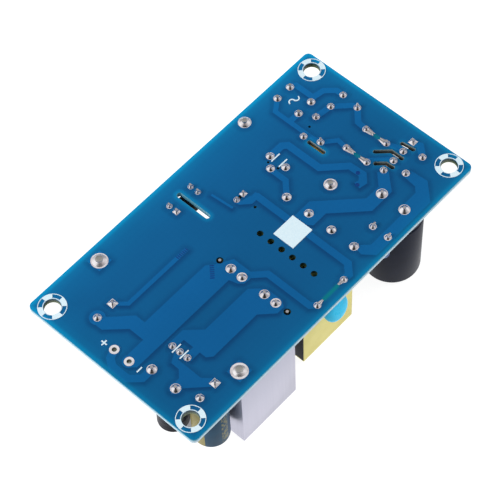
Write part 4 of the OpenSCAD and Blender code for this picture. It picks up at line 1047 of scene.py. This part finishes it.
def makeInductor():
    # Black sleeve shrunk over the winding, its ends curled over the flanges.
    low, high = nodeBox("inductor_windings")
    centre, radius = (low + high)[:2] / 2, (high - low)[0] / 2
    curl, flange = inductorLook["curl"], radius - inductorLook["flange"]
    bottom = quarter((radius - curl, low[2] + curl), curl, -1, 6)
    upright = np.linspace(0.05, 0.95, 24)
    ripple = np.abs(np.sin(upright * np.pi * inductorLook["waves"])) * np.exp(-((upright - 0.5) / 0.45) ** 6)
    side = np.stack([radius - inductorLook["wave"] * ripple, low[2] + (high - low)[2] * upright], 1)
    top = quarter((radius - curl, high[2] - curl), curl, 0, 6)
    profile = np.concatenate([[(flange, low[2] - 0.05)], bottom, side, top, [(flange, high[2] + 0.02)]])
    shape = Shape()
    shape.add(turned(profile, centre, inductorLook["around"]))
    piece = shape.piece("inductorSleeve", [blackSleeve], 50)
    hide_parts("inductor_windings")
    dressed("output_inductor", "inductorCore", [ferrite], 0.2)


makeInductor()
print("inductor made")

# each dipped disc: centre, where it faces and how far it leans that way in degrees, radius, half thickness, leads
discLook = [
    {"node": "disc_capacitor", "name": "discCapacitor", "slot": "disc_coating", "finish": discBlue,
     "centre": (1.1, -26.35, -8.2), "face": -90, "lean": 18, "radius": 3.95, "half": 1.5,
     "leads": [-1.75, 1.75], "drip": 1.3},
    {"node": "snubber_capacitor", "name": "snubberCapacitor", "slot": "dipped_coating", "finish": dippedBlue,
     "centre": (21.5, -23.5, -7.2), "face": 180, "lean": 0, "radius": 3.2, "half": 1.2,
     "leads": [-2.5, 2.5], "drip": 1.0},
    {"node": "varistor", "name": "varistor", "slot": "dipped_coating", "finish": dippedBlue,
     "centre": (34.65, 11.75, -8.0), "face": -76, "lean": 0, "radius": 4.5, "half": 1.4,
     "leads": [-3.55, 3.55], "drip": 1.2},
    {"node": "thermistor", "name": "thermistor", "slot": "thermistor_coating", "finish": dippedGreen,
     "centre": (43.55, -16.8, -7.6), "face": -90, "lean": 0, "radius": 4.2, "half": 1.8,
     "leads": [-3.75, 2.95], "drip": 1.2},
]


def makeDisc(look):
    # A lens with a full rim: thickness follows (1 - s^3)^(1/2.2), and the coating runs up each lead.
    u = circle(72)
    s = np.sin(np.linspace(-np.pi / 2, np.pi / 2, 27))[:, None]
    reach = look["radius"] * (1 - np.abs(s) ** 3) ** (1 / 2.2)
    across, along, up = reach * np.cos(u), look["half"] * s * np.ones_like(u), reach * np.sin(u)
    for lead in look["leads"]:
        near = np.exp(-(((across - lead) / 0.85) ** 2)) * np.clip(up / look["radius"], 0, 1) ** 2
        up = up + look["drip"] * 0.35 * near * np.sqrt(np.clip(1 - s**2, 0, 1))
    face, lean = math.radians(look["face"]), math.radians(look["lean"])
    out, side, top = np.array([[math.cos(face), math.sin(face), 0], [-math.sin(face), math.cos(face), 0], [0, 0, 1]])
    normal, rise = out * math.cos(lean) + top * math.sin(lean), top * math.cos(lean) - out * math.sin(lean)
    grid = look["centre"] + across[..., None] * side + along[..., None] * normal + up[..., None] * rise
    shape = Shape()
    shape.add(grid[1:-1], capLow=True, capHigh=True)
    piece = shape.piece(look["name"], [look["finish"]], 60)
    reworked(piece.data, lambda work: bmesh.ops.recalc_face_normals(work, faces=work.faces))
    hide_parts(look["node"])


for look in discLook:
    makeDisc(look)
print("dipped parts made")

# pieces that keep their CAD form, with worn-in edges
edged = [
    ("film_capacitor", "filmCapacitor", "film_case", filmYellow, 0.2),
    ("fuse", "fuse", "moulding", blackMoulding, 0.15),
    ("bridge_rectifier", "bridgeRectifier", "moulding", blackMoulding, 0.2),
    ("terminal_housing", "terminalHousing", "terminal_green", terminalGreen, 0.15),
    ("choke_core", "chokeCore", "ferrite", ferrite, 0.2),
    ("choke_bobbin", "chokeBobbin", "moulding", blackMoulding, 0.12),
    ("switch_transistor", "switchBody", "moulding", blackMoulding, 0.15),
    ("output_rectifier", "rectifierBody", "moulding", blackMoulding, 0.15),
    ("switch_transistor_frame", "switchFrame", "tin", tinned, 0.06),
    ("output_rectifier_frame", "rectifierFrame", "tin", tinned, 0.06),
    ("transistor_screws", "transistorScrews", "plated_steel", platedSteel, 0.15),
    ("transistor_nuts", "transistorNuts", "plated_steel", platedSteel, 0.15),
    ("heatsink_pins", "heatsinkPins", "plated_steel", platedSteel, 0.1),
    ("optocoupler", "optocoupler", "moulding", blackMoulding, 0.1),
]
for node, name, slotName, finish, bevel in edged:
    dressed(node, name, [finish], bevel)
print("mouldings made")

plainFinish = [
    (tinned, ["transformer_pins", "capacitor_leads", "straight_leads", "disc_capacitor_leads", "choke_pins_set",
              "bridge_leads", "optocoupler_leads", "inductor_leads"]),
    (platedSteel, ["terminal_clamps", "terminal_screws"]),
    (insulator, ["insulating_pads", "insulating_bushes"]),
    (chipBody, ["controller_chip", "shunt_regulator", "chip_parts"]),
    (openPad, ["copper_pads"]), (whitePrint, ["white_print"]), (rubberSeal, ["capacitor_seals"]),
    (windingTape, ["transformer_windings"]), (copperWire, ["choke_windings"]),
]
for finish, nodes in plainFinish:
    for node in nodes:
        painted(cadNodes[node].data, [finish])
print("CAD nodes painted")


# floor and light
floorLook = {
    "half": 2500.0,
    "rows": 9,
    "glow": 0.93,
    "colors": ((0.31, 0.31, 0.31), (0.29, 0.29, 0.292)),
    # the soft shade under the object: where it begins and is full along x and along y, and its level
    "shadeX": (-44.0, -41.5, 58.0, 62.4),
    "shadeY": (-18.0, -15.0, 17.0, 25.0),
    "shade": (0.2, 0.2, 0.21),
}


def makeFloor():
    half, rows, white = floorLook["half"], floorLook["rows"], (1.0, 1.0, 1.0)
    finish = Finish("floor", floorLook["colors"][0], 0.8, Emission_Strength=floorLook["glow"])
    place = finish.objectPlace()
    under = 1.0
    for along, key in zip(finish.axes(place, "XY"), ("shadeX", "shadeY")):
        a, b, c, d = (edge * mm for edge in floorLook[key])
        under = along.between(a, b) * (1 - along.between(c, d)) * under
    finish.give(Emission_Color=finish.blend(under, white, floorLook["shade"]))
    finish.paint(finish.blend(finish.noise(place, 4, 2), *floorLook["colors"]))
    line = np.linspace(-half, half, rows)
    grid = np.stack([*np.meshgrid(line, line), np.full((rows, rows), cadBox[0][2] / mm)], -1)
    shape = Shape()
    shape.add(grid, closed=False)
    floor = shape.stood("floor", [finish], 30)


makeFloor()

skyLook = {
    "stops": [(0.0, (1.0, 1.0, 1.0)), (0.537, (1.0, 1.0, 1.0)), (0.55, (0.44, 0.43, 0.44)),
              (0.75, (0.5, 0.49, 0.5)), (1.0, (0.4, 0.39, 0.4))],
    # bright and dark places: direction, cosine of the angle where it starts and where it is full, and its level
    "places": [
        ((-0.595, 0.684, 0.423), 0.62, 0.93, 1.0),
        ((0.8, -0.1, 0.587), 0.72, 0.95, 0.95),
        ((0.62, 0.6, 0.5), 0.6, 0.93, 0.2),
        ((0.38, 0.37, 0.848), 0.9, 0.985, 0.38),
        ((-0.6, -0.58, 0.55), 0.7, 0.93, 0.02),
    ],
}


def makeSky():
    # White to the horizon and dimmer above, with bright places on either side, like wide soft boxes, one dark and
    # one dim place, and a dark one where nothing lights the board from the front.
    world = bpy.data.worlds.new("studio")
    bpy.context.scene.world = world
    sky = Tree(world)
    towards = sky.node("TexCoord", output="Generated")
    level = sky.axes(towards, "Z")[0] * 0.5 + 0.5
    shown = sky.node("ValToRGB", {"stops": skyLook["stops"]}, {0: level})
    for direction, start, full, glow in skyLook["places"]:
        inputs = {0: towards, 1: direction}
        cosine = sky.node("VectorMath", {"operation": "DOT_PRODUCT"}, inputs, output="Value")
        shown = sky.blend(cosine.between(start, full), shown, (glow, glow, glow))
    sky.feed(sky.nodes["Background"].inputs[0], shown)


makeSky()

# each lamp: direction it stands in (degrees round from +X, degrees up), distance, size, power
lamps = [
    {"name": "keyLight", "around": 145, "up": 40, "away": 900, "size": 560, "power": 5.0},
    {"name": "fillLight", "around": -25, "up": 40, "away": 900, "size": 600, "power": 2.4},
]


def makeLamp(look):
    around, up = math.radians(look["around"]), math.radians(look["up"])
    back = np.array([math.cos(around) * math.cos(up), math.sin(around) * math.cos(up), math.sin(up)])
    right = np.cross([0, 0, 1], back)
    right /= np.linalg.norm(right)
    data = bpy.data.lights.new(look["name"], "AREA")
    data.shape, data.size, data.energy = "SQUARE", look["size"] * mm, look["power"]
    lamp = placed(look["name"], data, back * look["away"], [right, np.cross(back, right), back])
    lamp.visible_glossy = False


for look in lamps:
    makeLamp(look)
bpy.context.scene.view_settings.view_transform = "Standard"
print("light made")
